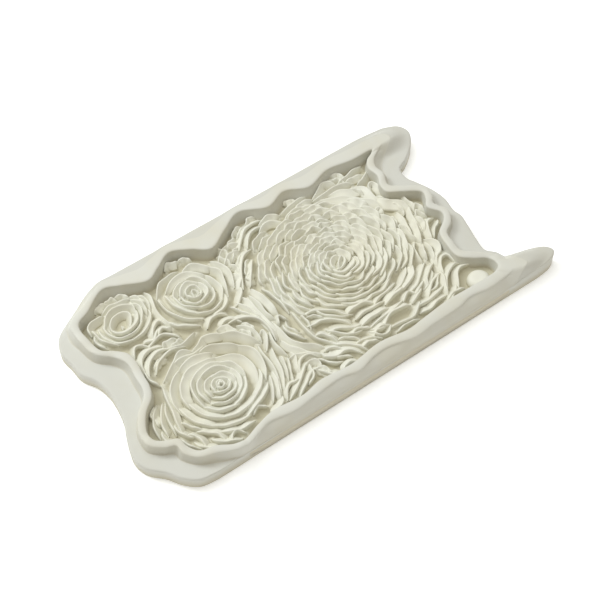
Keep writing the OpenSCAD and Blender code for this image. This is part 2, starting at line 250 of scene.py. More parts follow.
REAR_OUTER = lips(
    ((-45.8, 28), (-45.4, 22.4), (-42.4, 18.4), (-38.2, 16.2), 1.2),
    ((-39.8, 16.6), (-34.4, 15.8), (-30.8, 18.2), (-29.4, 22.6), 1.2),
    ((-29.6, 21), (-30.4, 27.6), (-33.4, 31.4), (-37, 32.8), 1.2),
    ((-35.4, 32.6), (-42, 31.4), (-45.4, 28.4), (-46, 25.4), 1.2),
    ((-48.4, 29.6), (-48, 23.6), (-45.6, 18.4), (-42, 14.6), 1.4),
    ((-43.6, 15.8), (-38.3, 12.5), (-33, 12.6), (-28.8, 15.2), 1.4),
    ((-30.4, 13.8), (-26.4, 19.4), (-26.8, 25), (-28.9, 30.6), 1.4),
    ((-28.2, 29), (-33.3, 34.4), (-37.6, 35.6), (-42.6, 34.8), (-46.8, 31.8), 1.4),
    ((-52, 30), (-51.8, 23), (-49.4, 17.4), (-46, 13.6), (-42, 11.3), 1.4),
    ((-51.4, 31.6), (-47.2, 36.6), (-42, 37.8), (-37.4, 38.2), 1.6),
    ((-36.6, 35.8), (-32, 37.6), (-28.2, 35.8), (-24.4, 31.2), 1.6),
    ((-25.4, 32.8), (-22.4, 27.5), (-23.4, 22.6), (-26.2, 15.2), 1.6),
    ((-27, 17), (-28.4, 12.6), (-32.4, 10.4), (-37.6, 9.8), 1.2),
    ((-22.4, 34), (-19.4, 28.8), (-19.2, 23.4), (-21.6, 17.6), 1.6),
)
CORNER = lips(
    (
        (-75, 27), (-74.6, 30.4), (-71.4, 33.4), (-67, 33.8), (-64.4, 31.2), (-65.6, 27.8),
        (-67.8, 25.4), 1.2,
    ),
    ((-75.2, 28.4), (-74.2, 25.6), (-71.4, 24), (-68, 23.8), (-64.4, 25.4), (-62, 28.4), (-61.4, 32), 1.2),
    ((-62.4, 29.4), (-61.4, 33.6), (-65.2, 36.6), (-70.4, 36.8), (-74.2, 34.8), (-76.8, 31), 1.3),
    ((-77.2, 32), (-77.2, 27), (-74.4, 22.8), (-70, 21.6), (-65.4, 22.6), (-61.4, 25.6), 1.4),
    ((-63, 24.4), (-60, 28), (-59.2, 32), (-61.2, 35.4), 1.2),
    ((-79.4, 31.8), (-79.6, 26.6), (-77, 21.8), (-73.4, 19.6), (-69, 19.4), 1.5),
    ((-71, 19.2), (-65, 19.4), (-61, 21.6), (-57.6, 25.4), (-57.2, 29.4), 1.5),
    ((-60.2, 36.8), (-57.6, 33), (-57.8, 28.6), (-58.6, 26.6), 1.2),
    ((-73.6, 38.2), (-69.5, 39.3), (-64.8, 38.6), (-60.4, 38), 1.4),
    ((-83.2, 31.4), (-82.6, 34.8), (-79.2, 36.6), (-74.6, 37), 1.2),
    ((-81.8, 32.6), (-81.4, 27), (-79.4, 23.2), (-76.6, 20.6), 1.2),
)
LEFT_EDGE_PETALS = lips(
    ((-86, -25), (-85.4, -20), (-82.8, -15.6), (-79.4, -12), 1.6),
    ((-82.8, -25.8), (-82.2, -21), (-80, -16.6), (-77, -12.6), 1.4),
    ((-80, -27), (-79.4, -22.4), (-78.4, -17.6), (-76.2, -13.6), 1.2),
    ((-77.6, -28), (-77, -23), (-75.6, -18), (-74.6, -12), (-72.8, -6.4), 1.2),
    ((-75.4, -24.8), (-73.4, -28.8), (-70.4, -32.4), 1.0),
    ((-79.8, -31), (-78.4, -35.4), (-75.6, -38.8), 1.2),
    ((-76, -30.4), (-73.8, -34.4), (-73.4, -39), 1.4),
    ((-72.6, -31.4), (-70, -34), (-66.8, -37), (-66, -40.4), 1.6),
    ((-63.4, -42.6), (-61.8, -40.6), (-59.6, -40.4), (-58, -42.4), 1.2),
    ((-49.6, -37.6), (-47, -36.2), (-44.4, -37.8), 1.2),
    ((-74.4, -0.4), (-72.4, 3.4), (-69.4, 6.6), (-65, 8), (-60.6, 7.4), 1.4),
    ((-70.6, 0.6), (-67.6, 3.6), (-63, 5.4), (-58.6, 5.6), (-55.4, 4.6), 1.4),
    ((-61.6, 8.4), (-56.8, 6.2), (-52, 6.8), (-48.4, 8.4), 1.2),
    ((-74.4, 2), (-73.8, 6.4), (-71.4, 9.6), (-67, 11), (-62.6, 10), 1.6),
    ((-74.2, 11.4), (-71.6, 15.4), (-68.4, 14.2), (-66.6, 11.8), 1.4),
    ((-67.4, 12), (-64.4, 13.4), (-59.6, 14.4), (-56.4, 12.4), (-54.4, 9.6), 1.6),
    ((-62.8, 15.6), (-60.4, 19), (-57, 20.6), (-55.6, 18), 1.4),
    ((-60, 15.6), (-57.4, 17), (-55.6, 14.8), 1.2),
    ((-56.8, 37.6), (-55.2, 34.6), (-55.2, 30.8), (-56.6, 27.6), 1.0),
    ((-53.6, 37), (-52.6, 34), (-53.6, 30), (-54.6, 26), (-54.4, 20.4), (-53, 16), 1.2),
    ((-54.2, 18), (-52.6, 14.6), (-49.4, 12), (-45, 9.4), 1.4),
    ((-73.6, -5), (-75.4, -0.6), (-74.8, 4.6), 0.9),
)
CENTRE_PETALS = lips(
    ((-41.8, 7), (-39, 9), (-35.4, 9.4), (-32.6, 7.4), 1.6),
    ((-37.4, 4), (-34.4, 5), (-31.8, 3.6), (-30, 1.2), 1.4),
    ((-34.4, 3.2), (-29.4, 2.4), (-25.8, 0.4), (-23.2, -3.2), (-22.4, -8.4), (-23.4, -13.6), 1.6),
    ((-31.8, 0.6), (-28.8, -2.4), (-27.4, -7), (-27.8, -11), 1.4),
    ((-27.2, -8), (-25, -7.2), (-24.6, -10), (-26.4, -13.4), (-28.4, -16), 1.0),
    ((-22.8, -9.6), (-24, -13.6), (-24.2, -17.6), (-23.4, -22.8), 1.2),
    ((-29, 9.4), (-27.6, 6), (-25.6, 2.4), (-24, -1), 1.2),
    ((-25.4, 9.8), (-23.6, 6), (-22.6, 2), (-21.6, -2), 1.4),
    ((-22.4, 12), (-20.8, 8), (-20.8, 3), (-20.4, -2), (-20.2, -8), (-19, -13), 1.6),
    ((-19.2, 9.6), (-18.4, 4), (-18.6, -1), (-17.6, -5.4), 1.2),
    ((-17.2, -8.6), (-15.8, -6), (-14.4, -8.4), 0.9),
    ((-16.4, 12), (-15, 6), (-14.4, 1), (-14.8, -4), 1.4),
    ((-13.4, 9.4), (-12.2, 4), (-11.4, -1), (-11.4, -6), 1.4),
    ((-19, 14.6), (-15, 22), (-10.4, 27.4), (-5.4, 29.2), 1.8),
    ((-15.8, 14), (-11.4, 19.8), (-7.8, 24.4), 1.4),
    ((-20.6, 32), (-17, 35.4), (-12, 37.2), (-7.6, 35.6), 2.2),
    ((-18.6, 30), (-14.6, 32.6), (-10.2, 32.2), 1.8),
)
FRONT_FAN = lips(
    ((-19.2, -6), (-18.8, -13), (-18.1, -18.6), (-15.4, -22.6), (-11.8, -25), (-9, -28.6), 2.2),
    ((-10.6, -8), (-10.7, -13), (-10.8, -18), (-10, -23.2), (-7.4, -27.4), (-5, -30.6), 1.4),
    ((-7.4, -27.4), (-4.6, -31.2), (-1.8, -33.2), (1.4, -36), (3.6, -39.6), 1.6),
    ((-21.2, -16), (-20.2, -20), (-17.6, -24), (-15.2, -27.6), (-12.2, -29.8), 1.2),
    ((-23.6, -24.4), (-20.6, -24.8), (-17.6, -26.4), (-14.6, -28.4), (-12.1, -30.4), 1.8),
    ((-24.4, -33.6), (-22.8, -30.6), (-20.2, -28.2), (-17, -28.2), (-14.6, -30.4), 1.6),
    (
        (-12.2, -30), (-12.2, -32.8), (-10, -34.8), (-7.2, -35.6), (-4, -35.5), (-1.2, -36.8),
        (0.8, -39.4), 3.4,
    ),
    ((-34.4, -40.6), (-30.4, -38.8), (-26.6, -36.2), (-22.6, -33.2), (-20.4, -31.3), (-18.4, -30.6), 1.4),
    ((-20, -31), (-18, -30.5), (-16, -31.4), (-15, -33.4), (-15.2, -35), 2.2),
    ((-30.6, -41.8), (-27.4, -39.9), (-24.6, -38.2), (-22, -36.4), (-19, -35.1), (-16.4, -35.3), 1.6),
    ((-18, -35), (-15.8, -35.6), (-14.5, -37.4), (-14, -40), 2.0),
    ((-35.2, -39.8), (-33.2, -36.8), (-30.8, -35), (-28.4, -35.5), (-25.6, -35.3), 1.2),
    ((-9.2, -42), (-7.4, -41.1), (-5, -41), (-3, -41.9), 1.0),
    ((-9.8, -30.6), (-7.4, -31), (-5.4, -32.8), (-4.4, -34.6), 1.8),
    ((-8.6, -22.4), (-6.2, -24.2), (-4.7, -27), (-3.8, -29.4), 1.6),
    ((-9, -17), (-6.2, -17.8), (-3.4, -17.8), (-1, -19), (1.6, -20.6), (4.2, -23.2), (5.8, -26), 2.0),
    ((-3.8, -24.9), (-1.2, -24.5), (1.2, -25.2), (3.6, -27.2), (6.4, -28.4), (9.6, -28.7), 2.4),
    ((-2.2, -29.4), (0.4, -30.6), (2.8, -32.6), (4.4, -35), 1.8),
    ((3.2, -31), (5.6, -29.8), (8.4, -30.6), (11.2, -32.4), 2.2),
    ((2, -35.2), (6, -35.6), (9, -36.8), (12, -38.8), 1.6),
    ((3.4, -38), (6.6, -37.9), (9.8, -39.2), 1.2),
    ((-7.2, -11.8), (-4.2, -11.8), (-1, -13), (1.6, -14.9), (4.4, -17.4), (6.6, -20.6), (9, -22.4), 2.2),
    ((-6.2, -13.2), (-3.4, -14.8), (-1.8, -17.2), 0.8),
    ((-8.2, -10.6), (-7.8, -14.6), (-8.4, -17.6), 0.8),
    ((-34.8, -26.8), (-36.2, -30.6), (-38.2, -34.4), (-40.4, -37.4), 1.0),
    ((-32.8, -26), (-33.6, -30.6), (-35.6, -34.6), (-37.2, -38), 0.9),
    ((-30.4, -12.4), (-31, -17), (-31, -22), (-31.8, -27), (-33.6, -32), (-36, -37), 0.9),
    ((-26.6, -16.8), (-27.8, -20.6), (-28.6, -24.6), (-29.6, -28.4), (-31.4, -32), (-34, -36), 1.0),
    ((-25.8, -22.4), (-26.8, -26), (-28, -29.4), (-29.6, -32.6), 0.8),
    ((-24.2, -24.6), (-25.6, -28), (-27.2, -31), (-28.6, -34.6), 1.0),
    ((10.8, -33.4), (13.6, -35.4), (17.6, -35.2), 1.6),
    ((10, -34), (12.4, -37.8), (16, -38.8), (19, -36.2), 1.6),
)
REAR_EDGE = lips(
    ((-9.4, 31.8), (-5.6, 35.8), (-1.8, 39), (2.6, 40.2), (7, 39.8), 1.8),
    ((5, 38.4), (9.6, 40), (12.6, 39.4), (14.8, 37.6), 1.8),
    ((-5.6, 31), (-3, 34.2), (0.8, 36.6), (5.4, 36.4), 1.6),
    ((2.6, 35), (6.6, 37.4), (11, 36.6), (14.2, 33.8), 1.4),
    ((12.6, 30.6), (15.8, 34), (18.4, 35.6), (22.6, 36.2), (27, 35.2), 1.6),
    ((25, 35.6), (30.6, 33.4), (35.2, 33), 1.6),
    ((15.6, 37.8), (20.8, 38.8), (25.6, 39.8), (30.4, 39.6), 1.8),
    ((22.4, 36.4), (27, 37.4), (31.2, 36.8), 1.2),
    ((32, 36.6), (36.6, 38.8), (40.2, 41), (43.6, 39.8), (45.4, 37.2), 2.2),
    ((31.8, 35.4), (38.2, 35.6), (44, 36), (47.6, 35.6), (51.4, 33.4), 1.8),
    ((46, 37.2), (51, 37.9), (55.4, 39), (60, 39.4), 1.2),
    ((49.8, 36), (54.4, 35.8), (58.4, 34.8), 1.4),
    ((53.2, 31.6), (57, 32.8), (60.2, 34.8), 1.6),
)
RIGHT_EDGE_PETALS = lips(
    ((34.6, 34.2), (39.4, 31.8), (43.4, 29.5), (47.2, 26.2), (50.6, 22.8), (53.4, 19.8), (54.4, 15), 2.4),
    ((38.8, 34.2), (43.8, 33.6), (47.8, 31.2), (52.6, 30), (54.9, 27.2), (55.2, 21.8), (56.6, 17.8), 3.0),
    ((55.6, 20), (57.2, 17.2), (60, 15), (62.8, 11.8), (63.8, 7.6), 3.2),
    ((55.6, 26), (56, 28), (57.8, 28.8), (59.4, 27.6), (59.9, 24.6), (59.2, 20.6), 1.6),
    ((49.4, 14.6), (51.2, 15.8), (52.8, 14.8), (52.8, 12.4), 1.4),
    ((57.9, 8.8), (57.6, 4), (56.4, -0.6), (55.2, -5.4), 1.8),
    ((54.4, 8.6), (54.2, 5), (53, 2.8), 1.2),
    ((52.2, 0.6), (53.6, 3), (55.2, 0.4), (54.8, -3.8), (55.4, -7.6), 1.4),
    ((60.6, 2), (59.8, -2.2), (58.2, -6), (56.4, -9.6), 1.4),
    ((63.8, 8.6), (62, 4), (60.9, -0.6), (60.4, -5), 1.2),
    ((62.6, 2.6), (64.2, 4.8), (65.6, 2.4), (66.4, 0), 1.2),
    ((64.8, 6.6), (66.6, 8.2), (68.2, 6), (67.8, 2.6), 1.6),
    ((67.8, -3), (65, -3.2), (62.8, -6.4), (61, -11), 1.6),
    ((69, -5), (67.8, -6.6), (65, -8), (62.6, -10.8), 1.4),
    ((58, -9.2), (60.6, -11.6), (61.4, -15.4), (59.4, -18.8), (56, -20.4), (53.8, -24), 1.6),
    ((57.4, -11), (57.2, -15), (56, -18.4), (54.2, -21.2), 1.0),
    ((55.4, -11.2), (53.8, -14.8), (52.6, -18), 1.0),
    ((53.6, -8.6), (51.6, -10.6), (50.4, -14), (49.9, -17.8), 1.2),
    ((53.6, -28), (55.2, -24.2), (57.8, -21.6), (60.4, -22), (60.6, -25.6), 2.4),
    ((49.2, -36.2), (52, -32), (55.4, -29.2), (59.4, -27.6), (61.4, -28), 1.6),
    ((54, -37.6), (56.4, -34), (58.4, -31.4), (61.4, -30.2), (65, -30.8), 1.6),
    ((35.8, -27.8), (40.4, -26.6), (44.4, -23.8), (47.2, -21.6), (50, -19.6), 1.8),
    ((44, -30.2), (45.4, -27), (48.8, -24.2), (52.6, -22), 2.6),
    ((36, -30.4), (39.8, -28.9), (43.6, -26.8), 1.4),
    ((40.8, -34), (44.2, -31), (47.2, -28.9), (52.2, -27.6), 2.8),
    ((48, -37.8), (49.8, -34.2), (52, -30.2), (53, -26.6), 1.8),
    ((33.4, -35.4), (38.2, -35.9), (42, -35.7), (45.6, -34.8), (48.8, -33.6), 2.2),
    ((33, -38.6), (37.6, -39.4), (42.4, -38), (47, -37.8), 1.8),
    ((46.4, -39.9), (50.4, -38.8), (55, -39.4), 1.2),
)
LARGE_OUTER = lips(
    ((8.6, -21.2), (13, -20.8), (17.4, -21.4), (19.4, -23.4), 1.8),
    ((19, -24.6), (24, -22.6), (29, -22), (33.4, -20.4), 1.8),
    ((9.8, -25.4), (14, -24.9), (19.4, -25.2), (24.6, -25.2), 1.8),
    ((24.2, -26.8), (29.4, -25.4), (34.8, -24.8), 2.0),
    ((9.4, -29.4), (14.4, -28.9), (19.4, -28.8), (23.4, -29.2), 1.8),
    ((11.6, -32.4), (16.4, -31.6), (21.4, -31.4), (26.4, -30.6), (31, -29.4), 1.8),
    ((17.6, -34.4), (21.4, -32.2), (26.4, -32), (31, -32.8), 2.2),
    ((10.4, -36.4), (14.4, -34.6), (18, -35.6), 1.8),
    ((18.6, -37.4), (24, -38.2), (28.6, -39), (32.4, -36.8), (36, -34.2), 1.8),
    ((20, -40.2), (25, -39.8), (30, -40.6), 1.0),
    ((33.6, -32.6), (37.6, -31), (40.4, -29.4), 1.4),
    ((30.8, -29.8), (35, -27.6), (36.4, -30.2), 1.2),
)


# ---------------------------------------------------------------- curves and meshes
def smooth(points: list[Point], closed: bool, steps: int = 16) -> np.ndarray:
    """A smooth curve through points: b + t/2 (c-a) + t2/2 (2a-5b+4c-d) + t3/2 (3b-a-3c+d).

    Args:
        points: The plan points, in order.
        closed: True joins the last point to the first.
        steps: How many pieces the curve has between two points.

    Returns:
        The curve's points, one row each.
    """
    p = np.asarray(points, float)
    if closed:
        a, b, c, d = np.roll(p, 1, 0), p, np.roll(p, -1, 0), np.roll(p, -2, 0)
    else:
        q = np.vstack([p[:1], p, p[-1:]])
        a, b, c, d = q[:-3], q[1:-2], q[2:-1], q[3:]
    a, b, c, d = (k[:, None, :] for k in (a, b, c, d))
    t = (np.arange(steps) / steps)[None, :, None]
    curve = b + t / 2 * (c - a) + t**2 / 2 * (2 * a - 5 * b + 4 * c - d)
    curve = (curve + t**3 / 2 * (3 * b - a - 3 * c + d)).reshape(-1, 2)
    return curve if closed else np.vstack([curve, p[-1:]])


def respace(curve: np.ndarray, gap: float) -> np.ndarray:
    """Spaces a closed curve's points evenly along it.

    Args:
        curve: The curve's points.
        gap: About how far apart the new ones are.

    Returns:
        The new points.
    """
    loop = np.vstack([curve, curve[:1]])
    along = np.r_[0, np.cumsum(np.linalg.norm(np.diff(loop, axis=0), axis=1))]
    at = np.linspace(0, along[-1], int(along[-1] / gap), endpoint=False)
    return np.stack([np.interp(at, along, loop[:, k]) for k in (0, 1)], 1)


def ease(t: np.ndarray) -> np.ndarray:
    """Zero below 0, one above 1 and 3t2 - 2t3 between them."""
    t = np.clip(t, 0, 1)
    return t * t * (3 - 2 * t)


def blur_round(values: np.ndarray, reach: int) -> np.ndarray:
    """A moving average of 2 * reach + 1 values along a closed loop.

    Args:
        values: One value or one row for each point of the loop.
        reach: How many neighbours on each side count.

    Returns:
        The averages, in the shape of values.
    """
    kernel = np.ones(2 * reach + 1) / (2 * reach + 1)
    wrapped = np.concatenate([values[-reach:], values, values[:reach]])
    if values.ndim == 1:
        return np.convolve(wrapped, kernel, "valid")
    columns = [np.convolve(wrapped[:, k], kernel, "valid") for k in range(values.shape[1])]
    return np.stack(columns, 1)


def inside(points: np.ndarray, outline: np.ndarray) -> np.ndarray:
    """Even-odd test of points against a closed outline: a ray to +X crosses it an odd number of times.

    Args:
        points: The plan points.
        outline: The outline's points.

    Returns:
        True for each point inside.
    """
    a, b = outline, np.roll(outline, -1, 0)
    x, y = points[:, 0, None], points[:, 1, None]
    straddles = (a[:, 1] > y) != (b[:, 1] > y)
    rise = np.where(b[:, 1] == a[:, 1], 1.0, b[:, 1] - a[:, 1])
    crossing = a[:, 0] + (y - a[:, 1]) * (b[:, 0] - a[:, 0]) / rise
    return (straddles & (x < crossing)).sum(1) % 2 == 1


def distance_to(points: np.ndarray, outline: np.ndarray) -> np.ndarray:
    """How far each point is from the nearest point of the outline."""
    return np.linalg.norm(points[:, None] - outline[None], axis=2).min(1)


def grid_faces(rows: int, columns: int, wrap_rows: bool, wrap_columns: bool) -> np.ndarray:
    """Quads of a grid whose vertex (i, j) is number i * columns + j.

    Args:
        rows: How many rows of vertices there are.
        columns: How many vertices a row has.
        wrap_rows: True joins the last row to the first.
        wrap_columns: True joins each row's end to its start.

    Returns:
        Four vertex numbers a row.
    """
    i = np.arange(rows if wrap_rows else rows - 1)[:, None]
    j = np.arange(columns if wrap_columns else columns - 1)[None, :]
    i2, j2 = (i + 1) % rows, (j + 1) % columns
    quads = [i * columns + j, i * columns + j2, i2 * columns + j2, i2 * columns + j]
    return np.stack(np.broadcast_arrays(*quads), -1).reshape(-1, 4)


def enclosed_volume(points: np.ndarray, quads: np.ndarray, caps: list[np.ndarray]) -> float:
    """Signed volume of a closed mesh: the sum of a . (b x c) / 6 over fans of its faces.

    Args:
        points: Vertex positions.
        quads: Four vertex numbers a row.
        caps: Faces with more corners, each an array of vertex numbers.

    Returns:
        The volume, below zero where the faces are turned inwards.
    """
    fans = [quads[:, [0, 1, 2]], quads[:, [0, 2, 3]]]
    fans += [np.stack([np.full(len(c) - 2, c[0]), c[1:-1], c[2:]], 1) for c in caps]
    a, b, c = (points[np.vstack(fans)[:, k]] for k in range(3))
    return float(np.einsum("ij,ij->i", a, np.cross(b, c)).sum() / 6)


def make_piece(name: str, points: np.ndarray, quads: np.ndarray, caps: list[np.ndarray]) -> Any:
    """A mesh object at the origin from points in millimetres, with its faces turned outwards.

    Args:
        name: The piece's name.
        points: Vertex positions in millimetres.
        quads: Four vertex numbers a row.
        caps: Faces with more corners, each an array of vertex numbers.

    Returns:
        The new object, linked to the scene.
    """
    if enclosed_volume(points, quads, caps) < 0:
        quads, caps = quads[:, ::-1], [c[::-1] for c in caps]
    mesh = bpy.data.meshes.new(name)
    mesh.from_pydata((points * MM).tolist(), [], quads.tolist() + [c.tolist() for c in caps])
    mesh.polygons.foreach_set("use_smooth", np.ones(len(mesh.polygons), bool))
    mesh.update()
    piece = bpy.data.objects.new(name, mesh)
    bpy.context.scene.collection.objects.link(piece)
    return piece


def settle(piece: Any, nodes: list[str], finish: Any) -> None:
    """Dresses a finished piece, rides it on the casting and names the CAD nodes it stands for.

    Args:
        piece: The object.
        nodes: The CAD nodes that it replaces.
        finish: Its material.
    """
    piece.data.materials.append(finish)
    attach(piece, "root")
    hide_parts(*nodes)
    log.info("%s: %d faces, for %s", piece.name, len(piece.data.polygons), ", ".join(nodes))


# ---------------------------------------------------------------- materials
class Value:
    """A shader socket that turns Python arithmetic into Math nodes."""

    def __init__(self, graph: "Graph", socket: Any) -> None:
        """Wraps one output socket of a graph."""
        self.graph = graph
        self.socket = socket

    def _with(self, operation: str, a: Any, b: Any) -> "Value":
        """One Math node on two values."""
        node = self.graph.node("ShaderNodeMath", {"operation": operation}, {0: a, 1: b})
        return Value(self.graph, node.outputs[0])

    def __add__(self, other: Any) -> "Value":
        """The sum."""
        return self._with("ADD", self, other)

    def __radd__(self, other: Any) -> "Value":
        """The sum, with the number first."""
        return self._with("ADD", other, self)

    def __sub__(self, other: Any) -> "Value":
        """The difference."""
        return self._with("SUBTRACT", self, other)

    def __rsub__(self, other: Any) -> "Value":
        """The difference, with the number first."""
        return self._with("SUBTRACT", other, self)

    def __mul__(self, other: Any) -> "Value":
        """The product."""
        return self._with("MULTIPLY", self, other)

    def __rmul__(self, other: Any) -> "Value":
        """The product, with the number first."""
        return self._with("MULTIPLY", other, self)


class Graph:
    """The node tree of one material."""

    def __init__(self, name: str) -> None:
        """Starts an empty tree with its output node.

        Args:
            name: The material's name.
        """
        self.material = bpy.data.materials.new(name)
        self.material.use_nodes = True
        self.tree = self.material.node_tree
        self.tree.nodes.clear()
        self.output = self.tree.nodes.new("ShaderNodeOutputMaterial")

    def node(self, kind: str, settings: dict[str, Any], inputs: dict[Any, Any]) -> Any:
        """Adds a node.

        Args:
            kind: The node's type name.
            settings: Attributes of the node, set before its sockets.
            inputs: Numbers, colours, sockets or Values, by the input's name or number.

        Returns:
            The node.
        """
        made = self.tree.nodes.new(kind)
        for key, value in settings.items():
            setattr(made, key, value)
        for key, value in inputs.items():
            if isinstance(value, Value):
                value = value.socket
            if isinstance(value, bpy.types.NodeSocket):
                self.tree.links.new(value, made.inputs[key])
            else:
                made.inputs[key].default_value = value
        return made

    def ramp(self, value: Value, low: float, high: float) -> Value:
        """Zero at low, one at high and 3t2 - 2t3 between them.

        Args:
            value: What rises.
            low: Where the ramp starts.
            high: Where it ends.

        Returns:
            The eased value.
        """
        inputs = {"Value": value, "From Min": low, "From Max": high}
        made = self.node("ShaderNodeMapRange", {"interpolation_type": "SMOOTHSTEP"}, inputs)
        return Value(self, made.outputs[0])

    def noise(self, vector: Any, per_metre: float, detail: float) -> Value:
        """Soft noise from 0 to 1 with that many lumps a metre."""
        inputs = {"Vector": vector, "Scale": per_metre, "Detail": detail, "Roughness": 0.55}
        return Value(self, self.node("ShaderNodeTexNoise", {}, inputs).outputs["Fac"])

    def mix(self, share: Value, a: Any, b: Any) -> Any:
        """A colour between a and b."""
        made = self.node("ShaderNodeMix", {"data_type": "RGBA"}, {0: share, 6: a, 7: b})
        return made.outputs[2]


def tint(red: int, green: int, blue: int) -> Colour:
    """A screen colour as the linear colour that a shader takes.

    Args:
        red: Red, of 255.
        green: Green, of 255.
        blue: Blue, of 255.

    Returns:
        The colour, opaque.
    """
    share = [c / 255 for c in (red, green, blue)]
    linear = [s / 12.92 if s < 0.04045 else ((s + 0.055) / 1.055) ** 2.4 for s in share]
    return (linear[0], linear[1], linear[2], 1.0)


@dataclass(frozen=True)
class Silicone:
    """Cast silicone rubber: a pale skin, with shade painted in that makes it warm and dull where it lies
    deep.

    skin, deep and mottle are colours: skin and mottle are the rubber's own, and deep is a painted shade
    for its hollows and low parts. deep_z and skin_z are the heights in metres between which the painted
    shade gives way to the skin colour, rough the mean roughness and grain_h the depth of the moulded grain
    in metres.
    clouds, swells and grains are how many lumps a metre the mottling and the two grains have.
    """

    name: str
    skin: Colour = tint(211, 211, 203)
    # deep is a painted shade colour for the low parts, not a colour of the rubber.
    deep: Colour = tint(198, 192, 172)
    mottle: Colour = tint(209, 207, 194)
    deep_z: float = 4.4 * MM
    skin_z: float = 7.6 * MM
    rough: float = 0.55
    grain_h: float = 0.03 * MM
    clouds: float = 55
    swells: float = 160
    grains: float = 2600

    def material(self) -> Any:
        """Builds the material.

        Returns:
            The material, with shade painted in by height, soft mottling, and a fine and a broad grain.
        """
        g = Graph(self.name)
        place = g.node("ShaderNodeTexCoord", {}, {}).outputs["Object"]
        height = Value(g, g.node("ShaderNodeSeparateXYZ", {}, {0: place}).outputs["Z"])
        clouds = g.noise(place, self.clouds, 3)
        grain = g.noise(place, self.grains, 3)
        swell = g.noise(place, self.swells, 2)
        skin = g.mix(g.ramp(clouds, 0.35, 0.75), self.skin, self.mottle)
        # Painted shade: below skin_z the colour turns towards deep, darker and warmer, standing in for the
        # shade in hollows and low parts.
        lift = g.ramp(height + (clouds - 0.5) * MM, self.deep_z, self.skin_z)
        relief = swell * 4 + grain
        bump_in = {"Strength": 0.6, "Distance": self.grain_h, "Height": relief}
        shader_in = {
            "Base Color": g.mix(lift, self.deep, skin),
            "Roughness": (clouds - 0.5) * 0.12 + (grain - 0.5) * 0.1 + self.rough,
            "Normal": g.node("ShaderNodeBump", {}, bump_in).outputs[0],
            "IOR": 1.41, "Specular IOR Level": 0.35,
        }
        shader = g.node("ShaderNodeBsdfPrincipled", {}, shader_in)
        g.tree.links.new(shader.outputs[0], g.output.inputs[0])
        return g.material


# ---------------------------------------------------------------- sheet, flange and wall
@dataclass
class Border:
    """The casting's border: the loops that the sheet and the pouring wall are lofted through.

    Every loop has one entry for each of place, which counts ribs round the border. cavity, rim, foot
    and sheet are plan points from the wall's inner edge outwards, foot_h and edge_h the heights at
    the last two, and inward points into the cavity.
    gap is the spacing of the loops' points and fine that of the curves they are picked from, both in
    millimetres.
    """

    gap: float = 0.6
    fine: float = 0.05

    def __post_init__(self) -> None:
        """Works the matched loops out from the ribs."""
        ends = smooth(RIGHT_EDGE, False), smooth(LEFT_EDGE, False)
        curves = {
            "cavity": respace(smooth(CAVITY, True), self.fine),
            "rim": respace(smooth(RIM, True), self.fine),
            "sheet": respace(np.vstack(ends), self.fine),
        }
        marks = {k: self._stations(c, np.array([getattr(r, k) for r in RIBS])) for k, c in curves.items()}
        longest = np.max([np.diff(marks[k]) for k in curves], axis=0) * self.fine
        counts = np.maximum(2, np.ceil(longest / self.gap)).astype(int)
        self.place = np.concatenate([k + np.arange(n) / n for k, n in enumerate(counts)])
        self.cavity, self.rim, self.sheet = (self._sample(curves[k], marks[k]) for k in curves)
        self.edge_h = self._spread([r.edge.height() for r in RIBS])
        self.foot_h = self._spread([r.foot.height() for r in RIBS])
        self.run = self._spread([r.run for r in RIBS])
        self.foot_share = self._spread([r.foot_share for r in RIBS])
        self.foot = self.rim + (self.sheet - self.rim) * self.foot_share[:, None]
        self.wall_h = Level.WALL.height()
        turned = np.roll(self.cavity, -1, 0) - np.roll(self.cavity, 1, 0)
        inward = blur_round(np.stack([-turned[:, 1], turned[:, 0]], 1), 8)
        self.inward = inward / np.linalg.norm(inward, axis=1)[:, None]

    @staticmethod
    def _stations(curve: np.ndarray, points: np.ndarray) -> np.ndarray:
        """Numbers of the curve's points nearest to the given ones, rising once round the loop.

        Args:
            curve: The closed curve's points.
            points: The ribs' points, in the same order round.

        Returns:
            One number for each rib, and the first again a whole turn on.
        """
        near = np.linalg.norm(curve[None] - points[:, None], axis=2).argmin(1)
        rising = near[0] + (near - near[0]) % len(curve)
        if (np.diff(rising) <= 0).any():
            log.warning("ribs out of order at %s", np.where(np.diff(rising) <= 0)[0])
        return np.append(rising, near[0] + len(curve))

    def _sample(self, curve: np.ndarray, marks: np.ndarray) -> np.ndarray:
        """The curve's points at the border's places, in step with the ribs.

        Args:
            curve: The closed curve's points.
            marks: The numbers of its points at the ribs.

        Returns:
            One plan point for each place.
        """
        at = np.interp(self.place, np.arange(len(marks)), marks)
        twice = np.vstack([curve, curve, curve])
        return np.stack([np.interp(at, np.arange(len(twice)), twice[:, k]) for k in (0, 1)], 1)

    def _spread(self, values: list[float]) -> np.ndarray:
        """Eases a value from each rib to the next as 3t2 - 2t3.

        Args:
            values: One value for each rib.

        Returns:
            One value for each place.
        """
        v = np.array(values + values[:1], float)
        k = self.place.astype(int)
        return v[k] + (v[k + 1] - v[k]) * ease(self.place - k)

    @staticmethod
    def loft(rows: list[tuple[np.ndarray, Any]]) -> np.ndarray:
        """Stacks rows of plan points and heights into one array of vertices."""
        lifted = [np.column_stack([xy, np.broadcast_to(z, len(xy))]) for xy, z in rows]
        return np.vstack(lifted)


